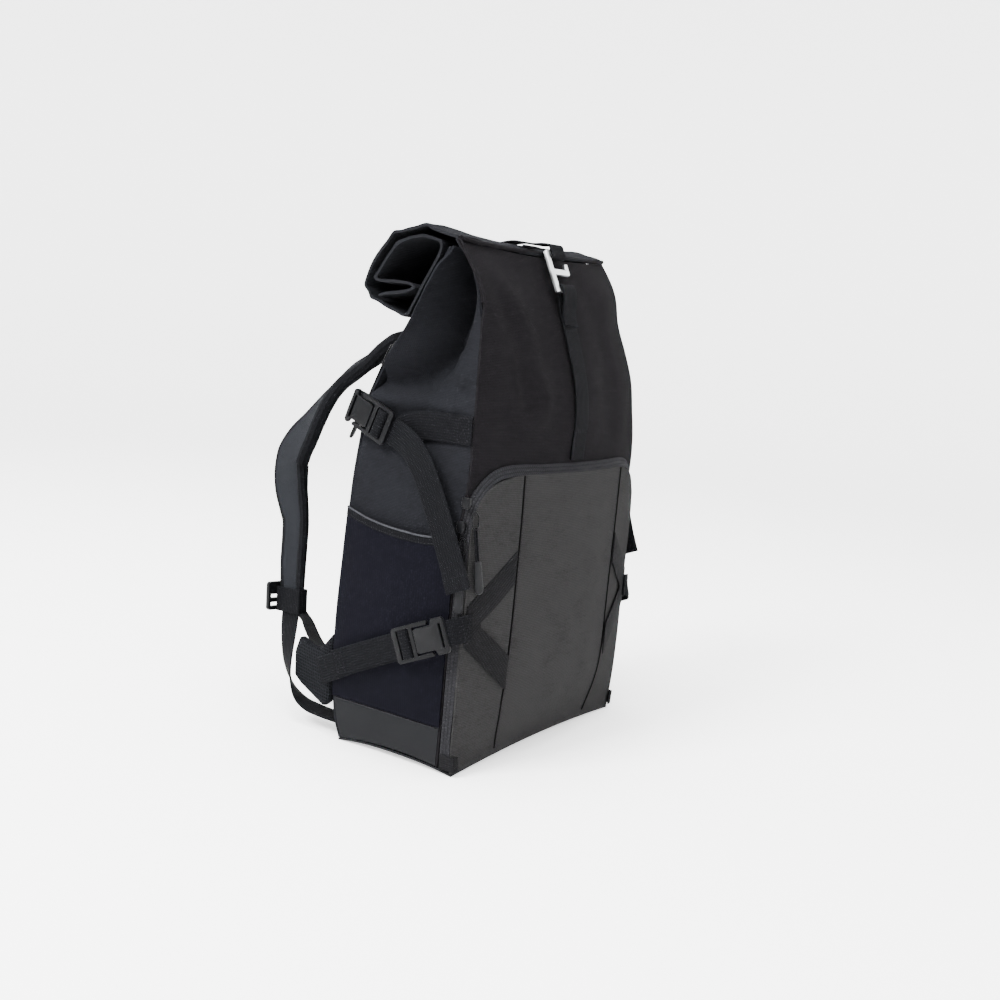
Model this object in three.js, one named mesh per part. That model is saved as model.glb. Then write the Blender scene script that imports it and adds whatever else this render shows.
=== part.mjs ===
// Roll-top camera backpack, standing upright and closed.
// Millimetres. +Z is up, -Y is the front with the pocket, +Y is the side that lies against the back,
// the origin is on the floor under the middle of the base.

import * as THREE from "three";

// Driving dimensions of the bag
const bagWidth = 300;
const bagDepth = 128;
const bagHeight = 476;
const clothWall = 2;
const pieceGap = 0.3;
const baseTuck = 4.5;
const baseArch = 5.5;
const coatedHeight = 42;
const rollLift = 9;
const rollSag = 6;
const rollTurn = 28;
const turnStart = 262;
const turnEnd = 430;
const settleStart = 330;
const settleEnd = 455;
const rollCloth = 2.6;

// Front pocket
const pocketHeight = 275;
const pocketCorner = 45;
const pocketEdgeY = -0.5156 * bagDepth;
const pocketBulge = 20;
const pocketCloth = 1.8;
const bandDepth = 14;
const bandRise = 8;
const seamX = 92;
const chevronLift = 0.3;
const chevronCloth = 1.2;

// Stretch pockets on the sides
const stretchFront = 212;
const stretchBack = 222;
const stretchDip = 6;
const stretchSwell = 7;
const stretchCloth = 1.4;
const bindingWidth = 8;

// Webbing
const webbingWidth = 25;
const webbingThick = 1.6;
const sternumWidth = 20;

// Side-release buckles
const buckleWidth = 32;
const buckleThick = 8;
const buckleBar = 4;
const lowerSocketLength = 34;
const upperSocketLength = 26;
const ladderLength = 24;
const ladderArm = 15;

// Closure hook
const hookWidth = 33;
const hookLength = 42;
const hookBar = 5.5;
const hookThick = 3.6;
const closureX = 0;

// Back, harness and hip wings
const padWidth = 62;
const padThick = 12;
const backPadThick = 10;
const lumbarThick = 14;
const wingThick = 8;
const keeperHeight = 24;
const keeperWall = 1.4;

// Zip sliders and pulls
const pullThick = 3.6;
const pullTabWidth = 10.5;
const sliderWidth = 9;

// Colours, taken from the photograph by eye
const cloth = (colour, roughness = 0.9) => new THREE.MeshStandardMaterial({ color: colour, roughness, metalness: 0 });
const frontCloth = cloth(0x222225);
const sideCloth = cloth(0x2a2c31);
const pocketFabric = cloth(0x333335);
const stretchFabric = cloth(0x1b1b25);
const coatedCloth = cloth(0x35383d, 0.55);
const webbingCloth = cloth(0x151517);
const meshCloth = cloth(0x24282c);
const plastic = new THREE.MeshStandardMaterial({ color: 0x121315, roughness: 0.45, metalness: 0 });
const rubber = new THREE.MeshStandardMaterial({ color: 0x101012, roughness: 0.6, metalness: 0 });
const metal = new THREE.MeshStandardMaterial({ color: 0xc9cccd, roughness: 0.35, metalness: 1 });

// The two side seams, front and back, from the floor up to the line where the roll begins.
// at: share of the way up; frontY, backY: shares of bagDepth; frontZ, backZ: shares of bagHeight;
// half: share of bagWidth; bulge: how far the middle of the front stands out, share of bagDepth.
const seamRows = [
  { at: 0.0, frontY: -0.383, frontZ: 0.005, backY: 0.508, backZ: 0.005, half: 0.485, bulge: 0.02 },
  { at: 0.04, frontY: -0.398, frontZ: 0.038, backY: 0.547, backZ: 0.038, half: 0.493, bulge: 0.06 },
  { at: 0.09, frontY: -0.406, frontZ: 0.088, backY: 0.57, backZ: 0.088, half: 0.498, bulge: 0.12 },
  { at: 0.23, frontY: -0.406, frontZ: 0.231, backY: 0.59, backZ: 0.231, half: 0.501, bulge: 0.156 },
  { at: 0.43, frontY: -0.418, frontZ: 0.42, backY: 0.551, backZ: 0.42, half: 0.503, bulge: 0.156 },
  { at: 0.55, frontY: -0.472, frontZ: 0.542, backY: 0.516, backZ: 0.542, half: 0.502, bulge: 0.135 },
  { at: 0.6, frontY: -0.482, frontZ: 0.597, backY: 0.492, backZ: 0.588, half: 0.5, bulge: 0.115 },
  { at: 0.66, frontY: -0.494, frontZ: 0.655, backY: 0.465, backZ: 0.643, half: 0.5, bulge: 0.115 },
  { at: 0.74, frontY: -0.492, frontZ: 0.731, backY: 0.397, backZ: 0.7, half: 0.5, bulge: 0.08 },
  { at: 0.83, frontY: -0.484, frontZ: 0.83, backY: 0.266, backZ: 0.767, half: 0.5, bulge: -0.035 },
  { at: 0.9, frontY: -0.441, frontZ: 0.887, backY: 0.133, backZ: 0.824, half: 0.5, bulge: -0.08 },
  { at: 0.96, frontY: -0.336, frontZ: 0.933, backY: 0.0, backZ: 0.891, half: 0.5, bulge: -0.06 },
  { at: 1.0, frontY: -0.23, frontZ: 0.971, backY: -0.148, backZ: 0.958, half: 0.5, bulge: 0.0 },
];

// The rolled end of the bag in side view: one strip of doubled cloth, from the front seam over the back,
// down, forward and round again inside. y: share of bagDepth; z: share of bagHeight.
const rollRows = [
  { y: -0.213, z: 0.9765 },
  { y: -0.088, z: 0.9831 },
  { y: 0.045, z: 0.9946 },
  { y: 0.198, z: 0.9879 },
  { y: 0.337, z: 0.9736 },
  { y: 0.437, z: 0.944 },
  { y: 0.523, z: 0.9125 },
  { y: 0.53, z: 0.8819 },
  { y: 0.446, z: 0.8609 },
  { y: 0.365, z: 0.8461 },
  { y: 0.246, z: 0.838 },
  { y: 0.146, z: 0.8404 },
  { y: 0.045, z: 0.8915 },
  { y: -0.088, z: 0.9488 },
  { y: -0.074, z: 0.9669 },
  { y: 0.093, z: 0.9807 },
  { y: 0.313, z: 0.9593 },
  { y: 0.456, z: 0.8991 },
  { y: 0.427, z: 0.8895 },
  { y: 0.15, z: 0.8919 },
  { y: 0.122, z: 0.8838 },
  { y: 0.16, z: 0.8767 },
  { y: 0.399, z: 0.8657 },
];

// A shoulder pad from its root under the roll to its lower end, for the -X side.
// x: share of bagWidth; y: share of bagDepth; z: share of bagHeight;
// acrossX, acrossY, acrossZ: which way the pad's outer edge lies; wide, thick: shares of padWidth, padThick.
const padRows = [
  { x: -0.246, y: 0.3, z: 0.7885, acrossX: 1, acrossY: 0, acrossZ: 0, wide: 0.95, thick: 0.8 },
  { x: -0.249, y: 0.375, z: 0.798, acrossX: 1, acrossY: 0, acrossZ: 0.05, wide: 0.97, thick: 0.9 },
  { x: -0.262, y: 0.45, z: 0.8, acrossX: 1, acrossY: -0.05, acrossZ: 0.16, wide: 1, thick: 0.95 },
  { x: -0.283, y: 0.56, z: 0.788, acrossX: 0.94, acrossY: -0.05, acrossZ: 0.3, wide: 1, thick: 1 },
  { x: -0.302, y: 0.75, z: 0.746, acrossX: 0.9, acrossY: -0.02, acrossZ: 0.42, wide: 1, thick: 1 },
  { x: -0.322, y: 0.965, z: 0.704, acrossX: 0.88, acrossY: 0.18, acrossZ: 0.43, wide: 1, thick: 1 },
  { x: -0.336, y: 1.12, z: 0.652, acrossX: 0.82, acrossY: 0.36, acrossZ: 0.44, wide: 1, thick: 1 },
  { x: -0.35, y: 1.28, z: 0.583, acrossX: 0.66, acrossY: 0.6, acrossZ: 0.45, wide: 1, thick: 1 },
  { x: -0.36, y: 1.4, z: 0.525, acrossX: 0.45, acrossY: 0.84, acrossZ: 0.3, wide: 0.98, thick: 1 },
  { x: -0.37, y: 1.375, z: 0.462, acrossX: 0.27, acrossY: 0.96, acrossZ: 0.05, wide: 0.8, thick: 0.9 },
  { x: -0.38, y: 1.29, z: 0.4, acrossX: 0.17, acrossY: 0.98, acrossZ: -0.05, wide: 0.56, thick: 0.75 },
  { x: -0.387, y: 1.27, z: 0.315, acrossX: 0.12, acrossY: 0.98, acrossZ: -0.1, wide: 0.53, thick: 0.7 },
  { x: -0.393, y: 1.245, z: 0.226, acrossX: 0.12, acrossY: 0.98, acrossZ: -0.1, wide: 0.47, thick: 0.55 },
];

// The webbing that runs on from the pad in a U to the foot of the back, with the same columns.
const webbingRows = [
  { x: -0.3935, y: 1.2435, z: 0.223, acrossX: 0.12, acrossY: 0.98, acrossZ: -0.1 },
  { x: -0.402, y: 1.235, z: 0.176, acrossX: 0.2, acrossY: 0.97, acrossZ: -0.1 },
  { x: -0.416, y: 1.2, z: 0.118, acrossX: 0.45, acrossY: 0.85, acrossZ: -0.25 },
  { x: -0.426, y: 1.13, z: 0.076, acrossX: 0.7, acrossY: 0.55, acrossZ: -0.42 },
  { x: -0.43, y: 1.02, z: 0.046, acrossX: 0.9, acrossY: 0.2, acrossZ: -0.25 },
  { x: -0.43, y: 0.89, z: 0.033, acrossX: 1, acrossY: 0, acrossZ: -0.05 },
  { x: -0.43, y: 0.74, z: 0.0295, acrossX: 1, acrossY: 0, acrossZ: 0 },
  { x: -0.43, y: 0.552, z: 0.0285, acrossX: 1, acrossY: 0, acrossZ: 0 },
];

// The slack chest strap, from the keeper on the -X pad to its lowest point in the middle.
const sternumRows = [
  { x: -0.363, y: 1.2, z: 0.214, acrossX: 0.25, acrossY: 0.97, acrossZ: 0 },
  { x: -0.335, y: 1.19, z: 0.186, acrossX: 0.15, acrossY: 0.99, acrossZ: 0 },
  { x: -0.3, y: 1.18, z: 0.148, acrossX: 0.05, acrossY: 1, acrossZ: 0 },
  { x: -0.25, y: 1.18, z: 0.115, acrossX: 0, acrossY: 1, acrossZ: 0 },
  { x: -0.18, y: 1.18, z: 0.09, acrossX: 0, acrossY: 1, acrossZ: 0 },
  { x: -0.09, y: 1.18, z: 0.074, acrossX: 0, acrossY: 1, acrossZ: 0 },
  { x: 0, y: 1.18, z: 0.069, acrossX: 0, acrossY: 1, acrossZ: 0 },
];

// Outline of a hip wing seen from the side: out from the back seam to its blunt tip.
// out: share of bagDepth, from the seam; z: share of bagHeight.
const wingRows = [
  { out: 0, z: 0.21 },
  { out: 0.15, z: 0.168 },
  { out: 0.28, z: 0.166 },
  { out: 0.43, z: 0.174 },
  { out: 0.485, z: 0.14 },
  { out: 0.47, z: 0.088 },
  { out: 0.375, z: 0.077 },
  { out: 0.07, z: 0.056 },
  { out: 0, z: 0.07 },
];

// A pull tab along its length, ring end first. along: share of the pull's length;
// wide: share of pullTabWidth.
const pullRows = [
  { along: 0, wide: 0.55 },
  { along: 0.09, wide: 0.95 },
  { along: 0.2, wide: 0.85 },
  { along: 0.28, wide: 0.43 },
  { along: 0.56, wide: 0.43 },
  { along: 0.62, wide: 0.9 },
  { along: 0.92, wide: 1 },
  { along: 1, wide: 0.6 },
];

const group = new THREE.Group();

// Helpers

function blend(value, start, end) {
  const share = Math.min(1, Math.max(0, (value - start) / (end - start)));
  return share * share * (3 - 2 * share);
}

// A smooth curve through one column of a table, read at any share along the key column.
function column(rows, key, name) {
  const keys = rows.map((row) => row[key]);
  const values = rows.map((row) => row[name]);
  const last = rows.length - 1;
  const slope = (i) => {
    if (i === 0) return (values[1] - values[0]) / (keys[1] - keys[0]);
    if (i === last) return (values[last] - values[last - 1]) / (keys[last] - keys[last - 1]);
    return (values[i + 1] - values[i - 1]) / (keys[i + 1] - keys[i - 1]);
  };
  return (at) => {
    let i = 0;
    while (i < last - 1 && at > keys[i + 1]) i += 1;
    const step = keys[i + 1] - keys[i];
    const t = (at - keys[i]) / step;
    const a = 2 * t ** 3 - 3 * t ** 2 + 1;
    const b = t ** 3 - 2 * t ** 2 + t;
    const c = -2 * t ** 3 + 3 * t ** 2;
    const d = t ** 3 - t ** 2;
    return a * values[i] + b * step * slope(i) + c * values[i + 1] + d * step * slope(i + 1);
  };
}

const frontShare = column(seamRows, "at", "frontY");
const frontRise = column(seamRows, "at", "frontZ");
const backShare = column(seamRows, "at", "backY");
const backRise = column(seamRows, "at", "backZ");
const halfShare = column(seamRows, "at", "half");
const bulgeShare = column(seamRows, "at", "bulge");

const frontY = (at) => frontShare(at) * bagDepth;
const frontZ = (at) => frontRise(at) * bagHeight;
const backY = (at) => backShare(at) * bagDepth;
const backZ = (at) => backRise(at) * bagHeight;
const half = (at) => halfShare(at) * bagWidth;

// The share up the bag at which a seam reaches a height.
function shareAtHeight(rise, z) {
  let low = 0;
  let high = 1;
  for (let i = 0; i < 30; i += 1) {
    const middle = (low + high) / 2;
    if (rise(middle) * bagHeight < z) low = middle;
    else high = middle;
  }
  return (low + high) / 2;
}

// How high the edge of the base stands off the floor, seen along an edge from -1 to 1.
const archAt = (along) => baseArch * (1 - along * along);

// The roll sags in the middle, stands higher at +X and is turned back there. Everything near moves with it.
function settle(p) {
  const share = p.x / bagWidth;
  const shift = rollLift * (share + 0.5) - rollSag * (1 - 4 * share * share);
  const turn = rollTurn * Math.max(0, 2 * share) ** 2 * blend(p.z, turnStart, turnEnd);
  return new THREE.Vector3(p.x, p.y + turn, p.z + shift * blend(p.z, settleStart, settleEnd));
}

// How far the front stands out across its width. Where it is drawn in, it is drawn in near the middle.
function bulgeProfile(bulge, across) {
  const share = 1 - across * across;
  return bulge * (bulge < 0 ? share * share : share);
}

// The outside of the front cloth at a height, x across.
function frontAt(x, z) {
  const at = shareAtHeight(frontRise, z);
  const across = Math.min(1, Math.abs(x) / half(at));
  return frontY(at) - bulgeProfile(bulgeShare(at) * bagDepth, across);
}

// The outside of the back cloth at a height.
const backBulge = 4;
function backAt(x, z) {
  const at = shareAtHeight(backRise, z);
  const across = Math.min(1, Math.abs(x) / half(at));
  return backY(at) + backBulge * (1 - across * across) * (1 - blend(z, 0.7 * bagHeight, 0.9 * bagHeight));
}

// A closed body from rings of points, each ring a closed convex outline with as many points.
function loft(rings) {
  const count = rings[0].length;
  const points = rings.flat();
  const faces = [];
  for (let r = 0; r < rings.length - 1; r += 1) {
    for (let i = 0; i < count; i += 1) {
      const a = r * count + i;
      const b = r * count + ((i + 1) % count);
      faces.push([a, b, b + count], [a, b + count, a + count]);
    }
  }
  const end = (rings.length - 1) * count;
  for (let i = 1; i < count - 1; i += 1) {
    faces.push([0, i + 1, i], [end, end + i, end + i + 1]);
  }
  return geometryFrom(points, faces);
}

// A closed sheet between two grids of points with the same rows and columns.
function sheet(outer, inner) {
  const rows = outer.length;
  const columns = outer[0].length;
  const points = [...outer.flat(), ...inner.flat()];
  const shift = rows * columns;
  const faces = [];
  for (let r = 0; r < rows - 1; r += 1) {
    for (let c = 0; c < columns - 1; c += 1) {
      const a = r * columns + c;
      const b = a + columns;
      faces.push([a, a + 1, b + 1], [a, b + 1, b]);
      faces.push([a + shift, b + 1 + shift, a + 1 + shift], [a + shift, b + shift, b + 1 + shift]);
    }
  }
  const rim = (a, b) => faces.push([a, a + shift, b + shift], [a, b + shift, b]);
  for (let c = 0; c < columns - 1; c += 1) {
    rim(c, c + 1);
    rim((rows - 1) * columns + c + 1, (rows - 1) * columns + c);
  }
  for (let r = 0; r < rows - 1; r += 1) {
    rim((r + 1) * columns, r * columns);
    rim(r * columns + columns - 1, (r + 1) * columns + columns - 1);
  }
  return geometryFrom(points, faces);
}

function geometryFrom(points, faces) {
  const geometry = new THREE.BufferGeometry();
  geometry.setAttribute("position", new THREE.Float32BufferAttribute(points.flatMap((p) => [p.x, p.y, p.z]), 3));
  geometry.setIndex(faces.flat());
  return facingOut(geometry);
}

// Turns every face over if the body is inside out.
function facingOut(geometry) {
  const at = geometry.getAttribute("position");
  const index = geometry.getIndex();
  const corner = (i) => new THREE.Vector3().fromBufferAttribute(at, index ? index.getX(i) : i);
  const count = index ? index.count : at.count;
  let volume = 0;
  for (let i = 0; i < count; i += 3) {
    volume += corner(i).dot(corner(i + 1).cross(corner(i + 2)));
  }
  if (volume >= 0) return geometry;
  const order = index ? [...index.array] : [...Array(count).keys()];
  for (let i = 0; i < count; i += 3) {
    [order[i + 1], order[i + 2]] = [order[i + 2], order[i + 1]];
  }
  geometry.setIndex(order);
  return geometry;
}

function mirrored(geometry) {
  const copy = geometry.clone();
  copy.applyMatrix4(new THREE.Matrix4().makeScale(-1, 1, 1));
  return facingOut(copy);
}

// Adds a named piece, moved with the settling of the roll.
function add(name, geometry, material) {
  const at = geometry.getAttribute("position");
  for (let i = 0; i < at.count; i += 1) {
    const p = settle(new THREE.Vector3().fromBufferAttribute(at, i));
    at.setXYZ(i, p.x, p.y, p.z);
  }
  geometry.deleteAttribute("normal");
  geometry.deleteAttribute("uv");
  geometry.computeVertexNormals();
  const mesh = new THREE.Mesh(geometry, material);
  mesh.name = name;
  group.add(mesh);
}

// Adds a -X piece and its mirror image.
function addPair(name, geometry, material) {
  add(`${name}_left`, geometry.clone(), material);
  add(`${name}_right`, mirrored(geometry), material);
}

// A grid of points from a function of two shares, given as lists.
const gridOf = (across, up, pointAt) => up.map((v) => across.map((u) => pointAt(u, v)));

const steps = (count, from = 0, to = 1) =>
  Array.from({ length: count + 1 }, (_, i) => from + ((to - from) * i) / count);

// The same grid moved along its own normals.
function offsetGrid(grid, distance) {
  const rows = grid.length;
  const columns = grid[0].length;
  return grid.map((row, r) =>
    row.map((p, c) => {
      const across = grid[r][Math.min(c + 1, columns - 1)].clone().sub(grid[r][Math.max(c - 1, 0)]);
      const up = grid[Math.min(r + 1, rows - 1)][c].clone().sub(grid[Math.max(r - 1, 0)][c]);
      const normal = across.cross(up).normalize();
      return p.clone().addScaledVector(normal, distance);
    }),
  );
}

const moved = (grid, x, y, z) => grid.map((row) => row.map((p) => new THREE.Vector3(p.x + x, p.y + y, p.z + z)));

// A flat strap along centre points. Each point has an across direction; width and thickness may vary.
function ribbon(points, width, thickness, corners = 4) {
  const rings = points.map((point, i) => {
    const before = points[Math.max(i - 1, 0)].at;
    const after = points[Math.min(i + 1, points.length - 1)].at;
    const along = after.clone().sub(before).normalize();
    const across = point.across.clone().addScaledVector(along, -point.across.dot(along)).normalize();
    const normal = new THREE.Vector3().crossVectors(along, across);
    const half = ((point.wide ?? 1) * width) / 2;
    const deep = (((point.thick ?? 1) * thickness) / 2) * (point.mitre ?? 1);
    const outline =
      corners === 4
        ? [[1, 1], [-1, 1], [-1, -1], [1, -1]]
        : [[1, 0.45], [0.82, 1], [-0.82, 1], [-1, 0.45], [-1, -0.45], [-0.82, -1], [0.82, -1], [1, -0.45]];
    return outline.map(([a, b]) =>
      point.at.clone().addScaledVector(across, a * half).addScaledVector(normal, b * deep),
    );
  });
  return loft(rings);
}

const vector = (x, y, z) => new THREE.Vector3(x, y, z);

// Points of a ribbon from a table whose lengths are shares of the bag's sizes, smoothed between rows.
function routeOf(rows, between) {
  const keyed = rows.map((row, i) => ({ ...row, step: i }));
  const names = Object.keys(rows[0]);
  const read = Object.fromEntries(names.map((name) => [name, column(keyed, "step", name)]));
  return steps((rows.length - 1) * between).map((share) => {
    const at = share * (rows.length - 1);
    return {
      at: vector(read.x(at) * bagWidth, read.y(at) * bagDepth, read.z(at) * bagHeight),
      across: vector(read.acrossX(at), read.acrossY(at), read.acrossZ(at)),
      wide: names.includes("wide") ? read.wide(at) : 1,
      thick: names.includes("thick") ? read.thick(at) : 1,
    };
  });
}

// Places a flat shape, drawn in x and y and extruded from z 0, in a frame given by three directions.
function platePlaced(shape, thickness, origin, alongX, alongY) {
  const geometry = new THREE.ExtrudeGeometry(shape, { depth: thickness, bevelEnabled: false, curveSegments: 3 });
  const x = alongX.clone().normalize();
  const z = new THREE.Vector3().crossVectors(x, alongY).normalize();
  const y = new THREE.Vector3().crossVectors(z, x);
  const matrix = new THREE.Matrix4().makeBasis(x, y, z).setPosition(origin);
  return facingOut(geometry.applyMatrix4(matrix));
}

function polygon(points) {
  const shape = new THREE.Shape();
  points.forEach(([x, y], i) => (i === 0 ? shape.moveTo(x, y) : shape.lineTo(x, y)));
  shape.closePath();
  return shape;
}

function rectangleHole(left, bottom, right, top) {
  const path = new THREE.Path();
  path.moveTo(left, bottom);
  path.lineTo(left, top);
  path.lineTo(right, top);
  path.lineTo(right, bottom);
  path.closePath();
  return path;
}

// Base board and its turned-up edge

const baseHalfX = half(0);
const baseFrontY = pocketEdgeY + pocketCloth;
const baseBackY = backY(0);
const baseMiddleY = (baseFrontY + baseBackY) / 2;
const baseHalfY = (baseBackY - baseFrontY) / 2;
const baseFlat = 0.86;

function baseUnder(u, v) {
  const lift = archAt(u) * blend(Math.abs(v), baseFlat, 1) + archAt(v) * blend(Math.abs(u), baseFlat, 1);
  return vector(u * baseHalfX, baseMiddleY + v * baseHalfY, lift);
}

function makeBase() {
  const across = [-1, -0.96, -0.9, -0.7, -0.3, 0.1, 0.5, 0.8, 0.92, 0.97, 1];
  const along = [-1, -0.95, -0.88, -0.5, 0.3, 0.7, 0.9, 0.96, 1];
  const under = gridOf(across, along, baseUnder);
  add("bottom_panel", sheet(under, moved(under, 0, 0, clothWall)), coatedCloth);
}

// The lowest a piece may reach where it stands on the base.
const floorSlack = 0.35;
function floorAt(x, y) {
  const u = THREE.MathUtils.clamp(x / baseHalfX, -1, 1);
  const v = THREE.MathUtils.clamp((y - baseMiddleY) / baseHalfY, -1, 1);
  return baseUnder(u, v).z + clothWall + pieceGap + floorSlack;
}

// Front, back and side cloth

const coatedShare = shareAtHeight(backRise, coatedHeight);

function makeFront() {
  const up = [0, 0.04, 0.09, 0.23, 0.43, 0.55, 0.6, 0.64, 0.68, 0.74, 0.79, 0.83, 0.87, 0.9, 0.93, 0.96, 0.98, 1];
  const outer = gridOf(steps(10, -1, 1), up, (u, v) => {
    const y = frontY(v) - bulgeProfile(bulgeShare(v) * bagDepth, u);
    return vector(u * half(v), y, v === 0 ? floorAt(u * half(v), y) : frontZ(v));
  });
  add("front_panel", sheet(outer, moved(outer, 0, clothWall, 0)), frontCloth);
}

function makeBack() {
  const up = [0, 0.04, 0.09, 0.23, 0.43, 0.55, 0.6, 0.66, 0.7, 0.74, 0.79, 0.83, 0.9, 0.96, 1];
  const outer = gridOf(steps(8, -1, 1), up, (u, v) => {
    const y = backAt(u * half(v), backZ(v));
    return vector(u * half(v), y, v === 0 ? floorAt(u * half(v), y) : backZ(v));
  });
  add("back_panel", sheet(outer, moved(outer, 0, -clothWall, 0)), sideCloth);
}

// The gusset folds inward where the front and back seams draw together, keeping its own length.
const gussetLength = backY(0.6) - frontY(0.6);

function foldDepth(at) {
  const apart = Math.hypot(backY(at) - frontY(at), backZ(at) - frontZ(at));
  return Math.sqrt(Math.max(0, (gussetLength ** 2 - apart ** 2) / 4));
}

const foldFull = 24;

function sidePoint(u, v) {
  const depth = v < 0.6 ? 0 : foldDepth(v);
  const margin = clothWall + pieceGap + 0.2 + (clothWall + 0.6) * Math.min(1, depth / foldFull);
  const y = THREE.MathUtils.lerp(frontY(v) + margin, backY(v) - margin, u);
  const z = THREE.MathUtils.lerp(frontZ(v), backZ(v), u);
  return vector(-half(v) + depth * (1 - Math.abs(2 * u - 1)), y, z);
}

function makeSides() {
  const foldColumns = [0, 0.12, 0.28, 0.42, 0.5, 0.58, 0.72, 0.88, 1];
  const upShares = [0.23, 0.43, 0.55, 0.6, 0.64, 0.68, 0.74, 0.79, 0.83, 0.87, 0.9, 0.93, 0.96, 0.98, 1];
  const start = coatedShare + pieceGap / bagHeight;
  const outer = gridOf(foldColumns, [start, ...upShares], sidePoint);
  addPair("side_panel", sheet(outer, offsetGrid(outer, clothWall)), sideCloth);

  const low = gridOf(steps(6), [0, 0.45, 1], (u, v) => {
    const at = v * (coatedShare - pieceGap / bagHeight);
    const p = sidePoint(u, at);
    return vector(p.x, p.y, v === 0 ? floorAt(p.x, p.y) : p.z);
  });
  addPair("side_base", sheet(low, moved(low, clothWall, 0, 0)), coatedCloth);
}

// Roll top

function makeRoll() {
  const line = rollRows.map((row) => vector(0, row.y * bagDepth, row.z * bagHeight));
  const outline = [];
  const back = [];
  line.forEach((p, i) => {
    const before = line[Math.max(i - 1, 0)];
    const after = line[Math.min(i + 1, line.length - 1)];
    const first = p.clone().sub(before);
    const second = after.clone().sub(p);
    const along = (i === 0 ? second : i === line.length - 1 ? first : first.normalize().add(second.normalize())).normalize();
    const leg = i === 0 || i === line.length - 1 ? 1 : Math.max(0.5, along.dot(second.normalize()));
    const normal = vector(0, -along.z, along.y).multiplyScalar(rollCloth / 2 / leg);
    outline.push(p.clone().add(normal));
    back.push(p.clone().sub(normal));
  });
  const across = steps(8, -1, 1);
  const halfWidth = half(1);
  const place = (points) => across.map((u) => points.map((p) => vector(u * halfWidth, p.y, p.z)));
  add("roll_top", sheet(place(outline), place(back)), frontCloth);
}

// Front pocket

const pocketRise = [4, 70];

function pocketFace(x, z) {
  const across = 1 - (x / (bagWidth / 2)) ** 2;
  const rise = 0.12 + 0.88 * blend(z, pocketRise[0], pocketRise[1]);
  return pocketEdgeY - pocketBulge * across * rise + 2 * (1 - rise);
}

// The top edge of the pocket's face. The band climbs on from it to the front of the bag.
function pocketTop(x) {
  const top = pocketHeight - bandRise;
  const past = Math.abs(x) - (bagWidth / 2 - pocketCorner);
  if (past <= 0) return top;
  return top - pocketCorner + Math.sqrt(Math.max(0, pocketCorner ** 2 - past ** 2));
}

const pocketTuck = (z) => baseTuck * (1 - blend(z, 0, coatedHeight));

function pocketPanel(columns) {
  const up = [0, 0.07, 0.15, 0.27, 0.5, 0.75, 0.9, 1];
  const outer = gridOf(columns, up, (x, v) => {
    const low = floorAt(x, pocketFace(x, 0));
    const z = THREE.MathUtils.lerp(low, pocketTop(x), v);
    const squeeze = 1 - pocketTuck(z) / (bagWidth / 2);
    return vector(x * squeeze, pocketFace(x, z), z);
  });
  return sheet(outer, moved(outer, 0, pocketCloth, 0));
}

function makePocket() {
  const edge = bagWidth / 2;
  const arcColumn = (share) => -(edge - pocketCorner + pocketCorner * Math.sin((Math.PI / 2) * share));
  const sideColumns = [-edge, arcColumn(0.85), arcColumn(0.6), arcColumn(0.3), -(seamX + pieceGap / 2)];
  addPair("pocket_side", pocketPanel(sideColumns), pocketFabric);
  const middle = seamX - pieceGap / 2;
  add("pocket_centre", pocketPanel(steps(8, -middle, middle)), pocketFabric);
}

// The outline of the pocket seen from the front, from the floor at -X over the top to the floor at +X.
function pocketOutline() {
  const edge = bagWidth / 2;
  const points = [];
  [0, 0.12, 0.25, 0.55, 1].forEach((share) => {
    const z = THREE.MathUtils.lerp(floorAt(-edge, pocketEdgeY + bandDepth), pocketHeight - pocketCorner, share);
    points.push([-(edge - pocketTuck(z)), z, -1, 0]);
  });
  [0.25, 0.5, 0.75, 1].forEach((share) => {
    const angle = (share * Math.PI) / 2;
    const out = pocketCorner * Math.cos(angle);
    const rise = pocketCorner * Math.sin(angle);
    points.push([-(edge - pocketCorner + out), pocketHeight - pocketCorner + rise, -Math.cos(angle), Math.sin(angle)]);
  });
  const left = [...points, [-(edge - pocketCorner) / 2, pocketHeight, 0, 1]];
  const right = left.map(([x, z, nx, nz]) => [-x, z, -nx, nz]).reverse();
  return [...left, [0, pocketHeight, 0, 1], ...right];
}

const bandSlack = 0.9;

function makeBand() {
  const rings = pocketOutline().map(([x, z, nx, nz]) => {
    const drop = bandRise * Math.min(1, z / (pocketHeight - pocketCorner));
    const front = pocketFace(x, z - drop) + pocketCloth + pieceGap;
    const limit = frontAt(x, z) - pieceGap - bandSlack;
    const rear = Math.min(front + bandDepth - pocketCloth, limit);
    const inX = x - nx * clothWall;
    const inZ = z - nz * clothWall;
    return [
      vector(x, front, z - drop),
      vector(x, rear, z),
      vector(inX, rear, inZ),
      vector(inX, front, inZ - drop),
    ];
  });
  add("pocket_zip_band", loft(rings), webbingCloth);
}

// Webbing chevrons on the pocket's side panels. x: share of bagWidth; z: share of pocketHeight.
const chevronRows = [
  { outX: -0.309, outZ: 0.727, inX: -0.309, inZ: 0.615 },
  { outX: -0.4, outZ: 0.645, inX: -0.372, inZ: 0.558 },
  { outX: -0.492, outZ: 0.562, inX: -0.436, inZ: 0.503 },
  { outX: -0.492, outZ: 0.43, inX: -0.436, inZ: 0.49 },
  { outX: -0.4, outZ: 0.345, inX: -0.372, inZ: 0.436 },
  { outX: -0.309, outZ: 0.262, inX: -0.309, inZ: 0.378 },
];

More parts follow.
